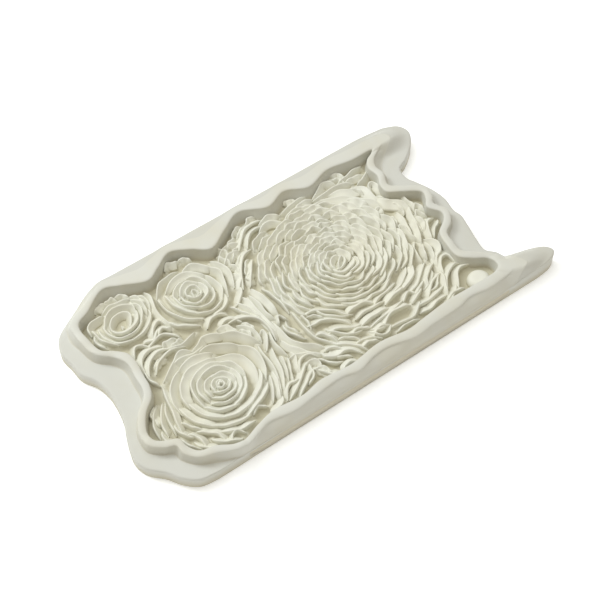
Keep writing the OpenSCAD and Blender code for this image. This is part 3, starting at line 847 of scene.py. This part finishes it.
@dataclass
class FlangedSheet:
    """The backing sheet with its flanges and pull tabs: one slab with a rounded edge.

    Sizes in millimetres: edge_round is the radius of its upper edge and base_round of its lower one,
    and hem how far inside the edge the underside's one flat face begins.
    """

    border: Border
    edge_round: float = 0.9
    base_round: float = 0.5
    hem: float = 6.0

    def build(self, finish: Any) -> None:
        """Lofts the slab from the underside round its edge and over the flange to the wall's foot.

        Both roundings are quarter circles; the upper one shrinks to half the flange's width where
        that is narrow. The flange rises from its edge to the wall's foot as 3t2 - 2t3.

        Args:
            finish: The material.
        """
        b = self.border
        across = b.foot - b.sheet
        width = np.linalg.norm(across, axis=1)[:, None]
        inward = across / np.maximum(width, 0.01)
        arc = np.linspace(0, math.pi / 2, 5)
        rows = [(b.sheet + inward * self.hem, 0.0)]
        rows += [
            (b.sheet + inward * self.base_round * (1 - math.sin(a)), self.base_round * (1 - math.cos(a)))
            for a in arc
        ]
        curl = np.minimum(self.edge_round, width * 0.5)
        top = b.edge_h - curl[:, 0]
        rows += [(b.sheet, self.base_round + (top - self.base_round) * t) for t in (0.25, 0.5, 0.75)]
        rows += [
            (b.sheet + inward * curl * (1 - math.cos(a)), top + curl[:, 0] * math.sin(a)) for a in arc
        ]
        start = b.sheet + inward * curl
        for t in np.linspace(0, 1, 12)[1:]:
            rows.append((start + (b.foot - start) * t, b.edge_h + (b.foot_h - b.edge_h) * ease(t)))
        under = b.foot + (b.rim - b.foot) * 0.3
        floor = Level.SHEET.height() + 0.5
        rows += [(under, b.foot_h - 0.02), (b.rim + (b.cavity - b.rim) * 0.5, floor)]
        points = Border.loft(rows)
        columns = len(b.place)
        quads = grid_faces(len(rows), columns, False, True)
        last = (len(rows) - 1) * columns
        caps = [np.arange(columns)[::-1], last + np.arange(columns)]
        piece = make_piece("flanged_sheet", points, quads, caps)
        nodes = ["backing_sheet", "left_flange", "right_flange", "rear_pull_tab", "front_pull_tab"]
        settle(piece, nodes, finish)


@dataclass
class PouringWall:
    """The wavy wall round the cavity, as one closed ring.

    Sizes in millimetres: lip_round is the rounding of its top, skirt how far it reaches out inside
    the flange and skirt_drop how far down, cover how far it stands out over the sheet's side where
    the two are flush, and cover_z how high above the ground it then ends. waves gives the top's two
    waves as radians a rib, phase and height, and flush is the foot_share from which the two are so.
    """

    border: Border
    lip_round: float = 1.0
    skirt: float = 0.4
    skirt_drop: float = 1.0
    cover: float = 0.06
    cover_z: float = 0.6
    waves: tuple[tuple[float, float, float], ...] = ((5.1, 0.0, 0.16), (2.3, 1.0, 0.12))
    flush: float = 0.9

    def build(self, finish: Any) -> None:
        """Lofts the outer face, the rounded top and the inner face, and closes them underneath.

        The outer face rises from its foot as t to the power 1.8. Along the front, where the foot lies
        at the sheet's edge, the power is 0.55 and the face runs on down over the sheet's side. The top
        follows a sine to the power 0.6 and waves by two sines of the place round the loop. The inner
        face falls as (1 - t) to the power 1.5.

        Args:
            finish: The material.
        """
        b = self.border
        wave = sum((np.sin(b.place * rate + phase) - 1) * high for rate, phase, high in self.waves)
        top = b.wall_h + wave * np.clip(b.wall_h - b.foot_h, 0, 1)
        outer_drop = np.clip(top - b.foot_h, 0, self.lip_round)
        floor = Level.FLOOR.height()
        base = Level.SHEET.height() + 0.3
        out = b.foot - b.rim
        away = out / np.maximum(np.linalg.norm(out, axis=1)[:, None], 0.01)
        spare = np.linalg.norm(b.sheet - b.foot, axis=1)[:, None]
        front = blur_round((b.foot_share > self.flush).astype(float), 12)
        reach = np.minimum(self.skirt, spare * 0.6) * (1 - front[:, None])
        hem = b.foot + away * (reach + (spare + self.cover) * front[:, None])
        hem_h = (b.foot_h - self.skirt_drop) * (1 - front) + self.cover_z * front
        rows = [(hem, hem_h), (hem, b.foot_h - 0.03 - 1.2 * front)]
        spring = 1.8 - 1.25 * front
        for t in np.linspace(0, 1, 9)[:-1]:
            rise = b.foot_h + (top - outer_drop - b.foot_h) * t**spring
            rows.append((b.foot + (b.rim - b.foot) * t, rise))
        for a in np.linspace(0, math.pi, 15):
            drop = np.where(a < math.pi / 2, outer_drop, self.lip_round)
            share = (1 - math.cos(a)) / 2
            rows.append((b.rim + (b.cavity - b.rim) * share, top - drop * (1 - math.sin(a) ** 0.6)))
        lip = top - self.lip_round
        for t in np.linspace(0, 1, 10)[1:]:
            inner = b.cavity + b.inward * b.run[:, None] * t
            rows.append((inner, floor + (lip - floor) * (1 - t) ** 1.5))
        inner = b.cavity + b.inward * b.run[:, None]
        rows += [(inner, base), (b.foot + (b.rim - b.foot) * 0.3, base)]
        points = Border.loft(rows)
        quads = grid_faces(len(rows), len(b.place), True, True)
        piece = make_piece("pouring_wall", points, quads, [])
        ends = ["left_wall_rear", "left_wall_front", "right_wall_rear", "right_wall_front"]
        sides = ["rear_wall_left", "rear_wall_right", "front_wall_left", "front_wall_right"]
        settle(piece, sides + ends, finish)


# ---------------------------------------------------------------- petals
@dataclass
class PetalSet:
    """Many petals as arrays with one entry for each, in millimetres.

    path holds the plan points of each lip, as petals by points by two, running so that the outside
    of the petal is on the right. top is the lip's height, run the width of the slope behind it,
    depth how far down that slope goes as a share of the petal's height, and phase sets its ripples.
    """

    path: np.ndarray
    top: np.ndarray
    run: np.ndarray
    depth: np.ndarray
    phase: np.ndarray

    def kept(self, mask: np.ndarray) -> "PetalSet":
        """The petals where mask is True."""
        return PetalSet(*(getattr(self, name)[mask] for name in self.__dataclass_fields__))

    def joined(self, other: "PetalSet") -> "PetalSet":
        """These petals and the other set's."""
        pairs = ((getattr(self, n), getattr(other, n)) for n in self.__dataclass_fields__)
        return PetalSet(*(np.concatenate(pair) for pair in pairs))

    def middles(self) -> np.ndarray:
        """The middle point of every lip."""
        return self.path[:, self.path.shape[1] // 2]

    def crowded(self, drawn: np.ndarray, near: float) -> np.ndarray:
        """How much of each lip lies close to drawn petals.

        Args:
            drawn: Points of the drawn lips.
            near: What counts as close, in millimetres.

        Returns:
            A share of the lip for each petal.
        """
        flat = self.path.reshape(-1, 2)
        close = distance_to(flat, drawn) < near
        return close.reshape(self.path.shape[:2]).mean(1)


# Number of points along every lip.
LIP_STEPS = 25
# How far a drawn lip runs on at both ends, and how much wider its slope is made than drawn, so that
# neighbours meet; in millimetres.
LIP_TAIL = 0.8
RUN_MORE = 0.6
# Cross-section of a petal from the outer root over the lip to the inner root: offset outwards in
# millimetres, offset inwards as a share of the run, height as a share of the petal's own on the
# outside, and fall as a share of its depth on the inside.
PETAL_SECTION = np.array([
    (0.36, 0.00, -0.10, 0.00), (0.32, 0.00, 0.20, 0.00), (0.26, 0.00, 0.55, 0.00),
    (0.20, 0.00, 0.80, 0.00), (0.09, 0.00, 0.94, 0.00), (-0.10, 0.00, 0.99, 0.00),
    (-0.30, 0.00, 1.00, 0.00), (-0.52, 0.00, 1.00, 0.07), (-0.68, 0.04, 1.00, 0.20),
    (-0.76, 0.16, 1.00, 0.37), (-0.78, 0.36, 1.00, 0.58), (-0.78, 0.60, 1.00, 0.77),
    (-0.78, 0.84, 1.00, 0.92), (-0.78, 1.00, 1.00, 1.00), (-0.78, 1.05, -0.10, 0.00),
])


def petal_mesh(petals: PetalSet, root_z: float) -> tuple[np.ndarray, np.ndarray, list[np.ndarray]]:
    """Sweeps the petal section along every lip at once.

    Each lip dips and thins towards its two ends, as 1 - t4 with t from -1 to 1 along it, so that it
    tucks in beside its neighbours. Its top ripples as a sine of t and the petal's phase. Its slope
    never reaches past 0.8 of the radius of the lip's own bend.

    Args:
        petals: The petals.
        root_z: Height of the petals' roots, in millimetres.

    Returns:
        Vertices, quads, and the end caps.
    """
    count, steps, _ = petals.path.shape
    t = np.linspace(-1, 1, steps)
    along = np.gradient(petals.path, axis=1)
    along /= np.linalg.norm(along, axis=2, keepdims=True)
    outward = np.stack([along[..., 1], -along[..., 0]], -1)
    body = 1 - t**4
    thick = (0.25 + 0.75 * np.sqrt(body))[None, :, None]
    fixed, share, up, fall = (PETAL_SECTION[:, k][None, None, :] for k in range(4))
    offset = fixed * thick - 0.3 * (1 - thick) - share * petals.run[:, None, None] * thick
    length = np.linalg.norm(petals.path[:, 2:] - petals.path[:, :-2], axis=2)
    bend = along[:, :-2, 0] * along[:, 2:, 1] - along[:, :-2, 1] * along[:, 2:, 0]
    bend = np.pad(bend / length, ((0, 0), (1, 1)), mode="edge")
    offset = np.maximum(offset, -0.8 / np.maximum(bend, 0.02)[..., None])
    ripple = 0.22 * np.sin(math.pi * (2.3 * t[None] + petals.phase[:, None] * 3))
    tall = (petals.top[:, None] + ripple - root_z) * (0.66 + 0.34 * body)[None]
    height = root_z + tall[..., None] * (up - fall * petals.depth[:, None, None])
    plan = petals.path[:, :, None, :] + outward[:, :, None, :] * offset[..., None]
    points = np.concatenate([plan, height[..., None]], -1)
    section = len(PETAL_SECTION)
    one = grid_faces(steps, section, False, True)
    shift = np.arange(count)[:, None, None] * steps * section
    quads = (one[None] + shift).reshape(-1, 4)
    first = np.arange(section)
    caps = [k * steps * section + first for k in range(count)]
    caps += [(k * steps + steps - 1) * section + first[::-1] for k in range(count)]
    return points.reshape(-1, 3), quads, caps


@dataclass(frozen=True)
class Ring:
    """Where one whorl of a rose lies, and how its petals look, in millimetres.

    radius is the lips' mean radius, width a petal's own length along the whorl, run the slope
    behind the lip, top the lips' height and uneven how much longer the petals are at the front.
    """

    radius: float
    width: float
    run: float
    top: float
    uneven: float = 0.25


def whorl(centre: Point, ring: Ring, draw: np.random.Generator) -> PetalSet:
    """The petals of one ring, side by side and overlapping.

    A lip's radius is the ring's plus skew t + bulge (1 - t2) + wave sin(pi (1.6 t + phase)), with t
    from -1 to 1 along it.

    Args:
        centre: The rose's middle.
        ring: The ring.
        draw: The seeded source of the small differences between petals.

    Returns:
        The petals.
    """
    count = max(4, round(TURN * ring.radius / ring.width))

    def spread(low: float, high: float) -> np.ndarray:
        """One random value for each petal, as a column."""
        return draw.uniform(low, high, (count, 1))

    share = math.pi / count
    turn = np.arange(count)[:, None] + draw.uniform()
    angle = TURN * turn / count + spread(-0.3, 0.3) * share
    half = share * spread(1.08, 1.5) * (1 + ring.uneven * np.cos(angle + math.pi / 2))
    angle = angle + ring.uneven * np.sin(angle + math.pi / 2)
    t = np.linspace(-1, 1, LIP_STEPS)[None]
    phase = spread(0, 2)
    radius = ring.radius + spread(-0.35, 0.35) + ring.run * spread(0.1, 0.5) * t
    radius = radius + spread(0.9, 2.0) * (0.4 - t**2)
    radius = radius + spread(0.1, 0.45) * np.sin(math.pi * (1.6 * t + phase))
    at = angle + half * t
    path = np.stack([centre[0] + radius * np.cos(at), centre[1] + radius * np.sin(at)], -1)
    top = ring.top + spread(-0.5, 0.25)[:, 0]
    run = ring.run * spread(0.9, 1.3)[:, 0]
    depth = spread(0.32, 0.72)[:, 0]
    return PetalSet(path, top, run, depth, phase[:, 0])


def drawn_petals(drawn: list[Lip], centres: list[Point], seed: int, top: float = 8.6) -> PetalSet:
    """Petals along drawn lips, each turned so that its outside faces away from its rose.

    Both ends of a lip run on straight by LIP_TAIL, under its neighbours.

    Args:
        drawn: The lips.
        centres: The roses' middles; a lip belongs to the nearest.
        seed: Of the small differences between petals.
        top: The lips' mean height in millimetres.

    Returns:
        The petals.
    """
    draw = np.random.default_rng(seed)
    paths = []
    for lip in drawn:
        curve = smooth(list(lip.points), False)
        tails = np.stack([curve[0] - curve[8], curve[-1] - curve[-9]])
        tails *= LIP_TAIL / np.linalg.norm(tails, axis=1)[:, None]
        curve = np.vstack([curve[0] + tails[0], curve, curve[-1] + tails[1]])
        along = np.r_[0, np.cumsum(np.linalg.norm(np.diff(curve, axis=0), axis=1))]
        at = np.linspace(0, along[-1], LIP_STEPS)
        path = np.stack([np.interp(at, along, curve[:, k]) for k in (0, 1)], 1)
        middle = path[LIP_STEPS // 2]
        away = middle - np.array(centres)
        away = away[np.linalg.norm(away, axis=1).argmin()]
        along_middle = path[LIP_STEPS // 2 + 1] - path[LIP_STEPS // 2 - 1]
        right = np.array([along_middle[1], -along_middle[0]])
        paths.append(path if right @ away > 0 else path[::-1])
    count = len(paths)
    run = np.array([lip.run for lip in drawn]) + RUN_MORE
    depth = draw.uniform(0.35, 0.7, count)
    tops = top + draw.uniform(-0.4, 0.3, count)
    return PetalSet(np.array(paths), tops, run, depth, draw.uniform(0, 2, count))


@dataclass
class Rose:
    """One rose of the relief: a rolled bud and whorls of petals round it.

    name is the start of its CAD nodes' names, and bud the lips of its rolled bud. groups gives for each
    CAD node of petals its drawn lips and the rings filled with petals by rule. bud_top is the bud's height
    in millimetres. A ring's petal is left out where more than most of its lip lies nearer than near to a
    drawn one.
    """

    name: str
    seed: int
    bud: list[Lip]
    groups: dict[str, tuple[list[Lip], list[Ring]]]
    bud_top: float = 8.9
    near: float = 1.1
    most: float = 0.35

    def centre(self) -> Point:
        """The middle of its bud, from the frame, in millimetres."""
        low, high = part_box(f"{self.name}_bud")
        return ((low.x + high.x) / 2 / MM, (low.y + high.y) / 2 / MM)

    def petals(self, taken: np.ndarray) -> dict[str, PetalSet]:
        """The bud and each group of petals, by the names of their CAD nodes.

        Args:
            taken: Points of every drawn lip; a ring's petals stay clear of them.

        Returns:
            The petals.
        """
        draw = np.random.default_rng(self.seed)
        made = {f"{self.name}_bud": drawn_petals(self.bud, [self.centre()], self.seed, self.bud_top)}
        for group, (drawn, rings) in self.groups.items():
            sets = [drawn_petals(drawn, [self.centre()], self.seed)] if drawn else []
            for ring in rings:
                more = whorl(self.centre(), ring, draw)
                sets.append(more.kept(more.crowded(taken, self.near) < self.most))
            petals = sets[0]
            for more in sets[1:]:
                petals = petals.joined(more)
            made[f"{self.name}_{group}"] = petals
        return made


def whorls(radii: list[float], width: float, wider: float) -> list[Ring]:
    """Rings of a rose; each one's slope takes up the gap to the ring inside it, less a lip.

    Args:
        radii: The rings' radii, from the innermost, in millimetres.
        width: A petal's length on the innermost ring.
        wider: How much longer the petals grow for each millimetre out.

    Returns:
        The rings.
    """
    lip, first_gap, top = 0.75, 2.2, 8.7
    gaps = np.diff([radii[0] - first_gap, *radii])
    return [Ring(r, width + wider * (r - radii[0]), g - lip, top) for r, g in zip(radii, gaps)]


def roses() -> list[Rose]:
    """Lays the roses out.

    Returns:
        The four roses, from the largest to the smallest.
    """
    return [
        Rose("large_rose", 11, LARGE_BUD, {
            "inner_petals": ([], whorls([5.9, 8.1, 10.3, 12.6], 8.4, 0.12)),
            "middle_petals": ([], whorls([15.1, 17.7, 20.3, 23.0], 9.0, 0.12)),
            "outer_petals": (LARGE_OUTER, whorls([25.7, 28.4, 31.1, 33.9, 36.7], 10.0, 0.1)),
        }),
        Rose("medium_rose", 12, MEDIUM_BUD, {
            "inner_petals": (MEDIUM_INNER, []), "outer_petals": (MEDIUM_OUTER, []),
        }),
        Rose("rear_rose", 13, REAR_BUD, {
            "inner_petals": (REAR_INNER, []), "outer_petals": (REAR_OUTER, []),
        }),
        Rose("corner_rose", 14, CORNER_BUD, {"petals": (CORNER, [])}, 7.4),
    ]


@dataclass
class LoosePetals:
    """The petals outside the roses: drawn lips, and rings of petals where none was drawn.

    Sizes in millimetres: gap is the rings' spacing, width a petal's length, wall_clear how near the
    middle of a petal may come to the wall's inner edge, and reach how far the rings go. A petal is
    left out where more than most of its lip lies nearer than near to a drawn one, and in the front
    right corner from pocket on, which is the deep pocket. REGIONS gives the drawn lips of each CAD
    node, and RADII how far each rose reaches, in the order of roses().
    """

    border: Border
    gap: float = 2.7
    width: float = 7.5
    wall_clear: float = 1.2
    reach: float = 34.0
    near: float = 0.9
    most: float = 0.4
    pocket: Point = (51.0, -26.0)
    seed: int = 21

    REGIONS: ClassVar[dict[str, list[Lip]]] = {
        "left_edge_petals": LEFT_EDGE_PETALS, "centre_petals": CENTRE_PETALS,
        "front_fan_petals": FRONT_FAN, "rear_edge_petals": REAR_EDGE,
        "right_edge_petals": RIGHT_EDGE_PETALS,
    }
    RADII: ClassVar[tuple[float, ...]] = (36.6, 24.0, 16.5, 11.5)

    def petals(self, centres: list[Point], taken: np.ndarray) -> dict[str, PetalSet]:
        """Each region of loose petals, by the name of its CAD node.

        Args:
            centres: The middles of the roses that they follow.
            taken: Points of every drawn lip.

        Returns:
            The petals.
        """
        top = 8.4
        fill = self._fill(centres, taken)
        masks = self._regions(*fill.middles().T)
        return {
            name: drawn_petals(drawn, centres, self.seed + k, top).joined(fill.kept(masks[name]))
            for k, (name, drawn) in enumerate(self.REGIONS.items())
        }

    def _fill(self, centres: list[Point], taken: np.ndarray) -> PetalSet:
        """Rings of petals round each rose, kept where they are clear of drawn lips and the wall.

        Args:
            centres: The roses' middles. A petal is kept only by the rose that it is nearest to.
            taken: Points of every drawn lip.

        Returns:
            The petals.
        """
        draw = np.random.default_rng(self.seed)
        lip, top = 0.9, 8.2
        every = None
        for k, centre in enumerate(centres):
            for radius in np.arange(self.RADII[k] + self.gap, self.RADII[k] + self.reach, self.gap):
                petals = whorl(centre, Ring(radius, self.width, self.gap - lip, top), draw)
                middle = petals.middles()
                far = [np.linalg.norm(middle - c, axis=1) - r for c, r in zip(centres, self.RADII)]
                clear = np.argmin(far, axis=0) == k
                clear &= inside(middle, self.border.cavity)
                clear &= distance_to(middle, self.border.cavity) > self.wall_clear
                for near_end in (2, -3):
                    clear &= inside(petals.path[:, near_end], self.border.rim)
                clear &= petals.crowded(taken, self.near) < self.most
                clear &= (middle[:, 0] < self.pocket[0]) | (middle[:, 1] > self.pocket[1])
                petals = petals.kept(clear)
                every = petals if every is None else every.joined(petals)
        return every

    @staticmethod
    def _regions(x: np.ndarray, y: np.ndarray) -> dict[str, np.ndarray]:
        """Sorts petals by where their middles lie.

        Args:
            x: The middles' places along X, in millimetres.
            y: Their places along Y.

        Returns:
            A mask of the petals for each CAD node of loose petals.
        """
        right = x > 40
        left = (x < -56) & (y < 20)
        front = ~right & ~left & (y < -20)
        centre = ~right & ~left & ~front & (x < -4) & (y < 24)
        rear = ~right & ~left & ~front & ~centre
        return {
            "right_edge_petals": right, "left_edge_petals": left, "front_fan_petals": front,
            "centre_petals": centre, "rear_edge_petals": rear,
        }


def drawn_points() -> np.ndarray:
    """Gathers what the petals made by rule stay clear of.

    Returns:
        Plan points along every drawn lip, close together.
    """
    every = [
        MEDIUM_INNER, MEDIUM_OUTER, REAR_INNER, REAR_OUTER, CORNER, LARGE_OUTER, LEFT_EDGE_PETALS,
        CENTRE_PETALS, FRONT_FAN, REAR_EDGE, RIGHT_EDGE_PETALS,
    ]
    return np.vstack([smooth(list(lip.points), False, 6) for group in every for lip in group])


@dataclass
class CavityBed:
    """The body of the relief between and under the petals' lips, down to the cavity's floor.

    Sizes in millimetres: step is the spacing of its square grid, behind and drop how far it starts
    behind and below a lip, fall its slope away from one, lowest its least height above the floor and
    base how far its underside lies above the sheet's. passes is how many grid steps a slope reaches,
    and edge_share how far across the wall's top, from its outer edge, the bed's own edge lies.
    """

    border: Border
    step: float = 0.55
    behind: float = 0.8
    drop: float = 1.8
    fall: float = 1.1
    lowest: float = 0.6
    base: float = 0.2
    passes: int = 10
    edge_share: float = 0.6

    def _heights(self, xs: np.ndarray, ys: np.ndarray, petals: list[PetalSet]) -> np.ndarray:
        """A height map hung between the lips: the highest of the cones that slope down from them.

        Args:
            xs: The grid's places along X, in millimetres.
            ys: The grid's places along Y.
            petals: Every set of petals on the bed.

        Returns:
            The heights, each the mean of its own twice over and its eight neighbours'.
        """
        z = np.full((len(xs), len(ys)), Level.FLOOR.height() + self.lowest)
        for group in petals:
            along = np.gradient(group.path, axis=1)
            along /= np.linalg.norm(along, axis=2, keepdims=True)
            line = group.path - np.stack([along[..., 1], -along[..., 0]], -1) * self.behind
            fine = (line[:, :-1, None] * [[1], [0.5]] + line[:, 1:, None] * [[0], [0.5]]).reshape(-1, 2)
            i = np.clip(((fine[:, 0] - xs[0]) / self.step).round().astype(int), 0, len(xs) - 1)
            j = np.clip(((fine[:, 1] - ys[0]) / self.step).round().astype(int), 0, len(ys) - 1)
            top = np.repeat(group.top - self.drop, fine.shape[0] // len(group.top))
            np.maximum.at(z, (i, j), top)
        for _ in range(self.passes):
            for away, beside in self._neighbours(z):
                z = np.maximum(z, beside - self.fall * away)
        beside = [heights for _, heights in self._neighbours(z)]
        return (z * 2 + sum(beside)) / (2 + len(beside))

    def _neighbours(self, z: np.ndarray) -> list[tuple[float, np.ndarray]]:
        """Looks at a height map's eight neighbours.

        Args:
            z: The height map.

        Returns:
            For each direction, how far off that neighbour lies and the map shifted by it.
        """
        padded = np.pad(z, 1, mode="edge")
        around = ((0, 1), (1, 0), (0, -1), (-1, 0), (1, 1), (1, -1), (-1, 1), (-1, -1))
        return [
            (self.step * math.hypot(dx, dy), padded[1 + dx:, 1 + dy:][:z.shape[0], :z.shape[1]])
            for dx, dy in around
        ]

    def build(self, petals: list[PetalSet], finish: Any) -> None:
        """Makes the bed from the squares of a grid that lie inside a line under the wall's top.

        Each square is kept whole, so the bed's edge is stepped, which the wall covers. Upright quads
        close the gap between top and underside wherever the square beyond was left out.

        Args:
            petals: Every set of petals on the bed.
            finish: The material.
        """
        edge = (self.border.rim + (self.border.cavity - self.border.rim) * self.edge_share)[::3]
        low, high = edge.min(0) - self.step * 2, edge.max(0) + self.step * 2
        xs, ys = (np.arange(low[k], high[k], self.step) for k in (0, 1))
        x, y = np.meshgrid(xs, ys, indexing="ij")
        middles = np.stack([x[:-1, :-1], y[:-1, :-1]], -1).reshape(-1, 2) + self.step / 2
        kept = np.concatenate([inside(part, edge) for part in np.array_split(middles, 12)])
        kept = kept.reshape(len(xs) - 1, len(ys) - 1)
        top = np.stack([x, y, self._heights(xs, ys, petals)], -1).reshape(-1, 3)
        base = np.column_stack([top[:, :2], np.full(len(top), Level.SHEET.height() + self.base)])
        upper = grid_faces(len(xs), len(ys), False, False)
        sides = []
        for side, (dx, dy) in enumerate(((-1, 0), (0, 1), (1, 0), (0, -1))):
            beyond = np.pad(kept, 1)[1 + dx:, 1 + dy:][:kept.shape[0], :kept.shape[1]]
            open_edge = upper[(kept & ~beyond).ravel()][:, [side, (side + 1) % 4]]
            sides.append(np.column_stack([open_edge[:, ::-1], open_edge + len(top)]))
        upper = upper[kept.ravel()]
        quads = np.vstack([upper, upper[:, ::-1] + len(top), *sides])
        used, renumbered = np.unique(quads, return_inverse=True)
        points = np.vstack([top, base])[used]
        piece = make_piece("cavity_floor_bed", points, renumbered.reshape(-1, 4), [])
        settle(piece, ["cavity_floor"], finish)


@dataclass
class PocketPetal:
    """The one rounded petal that lies in the deep pocket at the front right corner.

    Sizes in millimetres: middle is its plan centre and half its half sizes. It has columns points
    round each of its rings rings.
    """

    middle: Point = (63.5, -38.8)
    half: Point = (5.6, 5.2)
    rings: int = 12
    columns: int = 48

    def build(self, finish: Any) -> None:
        """Makes the petal as a low dome: its height falls as the root of 1 - r to the 4th.

        Args:
            finish: The material.
        """
        top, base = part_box("pocket_petal")[1].z / MM - 0.4, Level.SHEET.height() + 0.4
        r = np.linspace(0, 1, self.rings + 1)[1:, None]
        a = np.linspace(0, TURN, self.columns, endpoint=False)[None]
        x = self.middle[0] + self.half[0] * r * np.cos(a)
        y = self.middle[1] + self.half[1] * r * np.sin(a)
        z = base + (top - base) * np.sqrt(np.clip(1 - r**4, 0, 1)) + 0 * a
        points = np.vstack([[*self.middle, top], np.stack([x, y, z], -1).reshape(-1, 3)])
        ring = np.arange(self.columns)
        quads = grid_faces(self.rings, self.columns, False, True) + 1
        middle = [np.array([0, 1 + (k + 1) % self.columns, 1 + k]) for k in ring]
        caps = [*middle, (1 + (self.rings - 1) * self.columns + ring)]
        piece = make_piece("pocket_petal_round", points, quads, caps)
        settle(piece, ["pocket_petal"], finish)


# ---------------------------------------------------------------- studio
@dataclass(frozen=True)
class Lamp:
    """A square soft light that faces the object: its place and side in metres, its power in watts."""

    name: str
    place: tuple[float, float, float]
    side: float
    power: float


@dataclass
class Studio:
    """A white floor, soft light from above and the camera.

    Angles in degrees, lengths in metres: turn and lift are where the camera stands round the object,
    and aim the point that it looks at. The floor reaches floor_half each way and lies floor_drop
    under the object.
    """

    turn: float = -35.85
    lift: float = 55.0
    away: float = 0.5737
    lens: float = 81.96
    aim: tuple[float, float, float] = (-0.0008, 0.0, 0.0)
    floor_half: float = 9.0
    floor_drop: float = 0.00005
    floor_glow: float = 0.32
    surround: float = 0.46

    WARM: ClassVar[Colour] = (1.0, 0.925, 0.78, 1.0)
    COOL: ClassVar[Colour] = (0.93, 0.97, 1.0, 1.0)
    LAMP_COLOUR: ClassVar[tuple[float, float, float]] = (0.92, 0.965, 1.0)
    LAMPS: ClassVar[tuple[Lamp, ...]] = (
        Lamp("overhead", (-0.05, 0.2, 0.9), 0.7, 4.2),
        Lamp("key", (-0.35, 0.6, 0.7), 0.3, 4.0),
    )

    def build(self) -> None:
        """Makes everything round the object."""
        self._floor()
        self._light()
        self._camera()
        bpy.context.scene.view_settings.view_transform = "Standard"

    def _floor(self) -> None:
        """A wide plain floor just under the object, which glows a little so that it stays white."""
        mesh = bpy.data.meshes.new("studio_floor")
        half, z = self.floor_half, -self.floor_drop
        corners = [(-half, -half, z), (half, -half, z), (half, half, z), (-half, half, z)]
        mesh.from_pydata(corners, [], [(0, 1, 2, 3)])
        floor = bpy.data.objects.new("studio_floor", mesh)
        bpy.context.scene.collection.objects.link(floor)
        g = Graph("white_floor")
        inputs = {
            "Base Color": tint(250, 250, 250), "Roughness": 0.9, "Specular IOR Level": 0.0,
            "Emission Color": self.COOL, "Emission Strength": self.floor_glow,
        }
        shader = g.node("ShaderNodeBsdfPrincipled", {}, inputs)
        g.tree.links.new(shader.outputs[0], g.output.inputs[0])
        mesh.materials.append(g.material)

    def _light(self) -> None:
        """A warm bright surround, and cooler soft lights overhead and behind."""
        world = bpy.data.worlds.new("studio")
        world.use_nodes = True
        back = world.node_tree.nodes["Background"]
        back.inputs[0].default_value = self.WARM
        back.inputs[1].default_value = self.surround
        bpy.context.scene.world = world
        for lamp in self.LAMPS:
            light = bpy.data.lights.new(lamp.name, "AREA")
            light.shape = "SQUARE"
            light.size = lamp.side
            light.energy = lamp.power
            light.color = self.LAMP_COLOUR
            stand = bpy.data.objects.new(lamp.name, light)
            stand.location = lamp.place
            stand.rotation_mode = "QUATERNION"
            stand.rotation_quaternion = (-Vector(lamp.place)).to_track_quat("-Z", "Y")
            bpy.context.scene.collection.objects.link(stand)

    def _camera(self) -> None:
        """The camera, turned and lifted round its aim."""
        turn, lift = math.radians(self.turn), math.radians(self.lift)
        back = Vector((math.sin(turn) * math.cos(lift), -math.cos(turn) * math.cos(lift), math.sin(lift)))
        view = bpy.data.cameras.new("camera")
        view.lens = self.lens
        camera = bpy.data.objects.new("camera", view)
        camera.location = Vector(self.aim) + back * self.away
        camera.rotation_mode = "QUATERNION"
        camera.rotation_quaternion = (-back).to_track_quat("-Z", "Y")
        bpy.context.scene.collection.objects.link(camera)
        bpy.context.scene.camera = camera


def main() -> None:
    """Builds the whole mould and its studio."""
    logging.basicConfig(level=logging.INFO, format="%(message)s")
    # Each material paints shade by height: the sheet darker towards the ground, and the wall, petals and
    # bed darker and warmer low in the cavity.
    sheet = Silicone(
        "silicone_sheet_with_painted_shade", skin=tint(205, 205, 198), deep=tint(192, 187, 168),
        mottle=tint(203, 202, 192), deep_z=0.0, skin_z=6.0 * MM,
    ).material()
    wall = Silicone("silicone_wall_with_painted_shade").material()
    petal = Silicone(
        "silicone_petal_with_painted_shade", skin=tint(226, 226, 215), deep=tint(190, 185, 161),
        mottle=tint(224, 222, 207),
    ).material()
    border = Border()
    FlangedSheet(border).build(sheet)
    PouringWall(border).build(wall)
    made = roses()
    taken = drawn_points()
    petals = LoosePetals(border).petals([rose.centre() for rose in made], taken)
    for rose in made:
        petals.update(rose.petals(taken))
    root_z = Level.FLOOR.height() - 0.6
    for name, group in petals.items():
        piece = make_piece(f"{name}_form", *petal_mesh(group, root_z))
        settle(piece, [name], petal)
    CavityBed(border).build(list(petals.values()), petal)
    PocketPetal().build(petal)
    Studio().build()


if __name__ == "__main__":
    main()
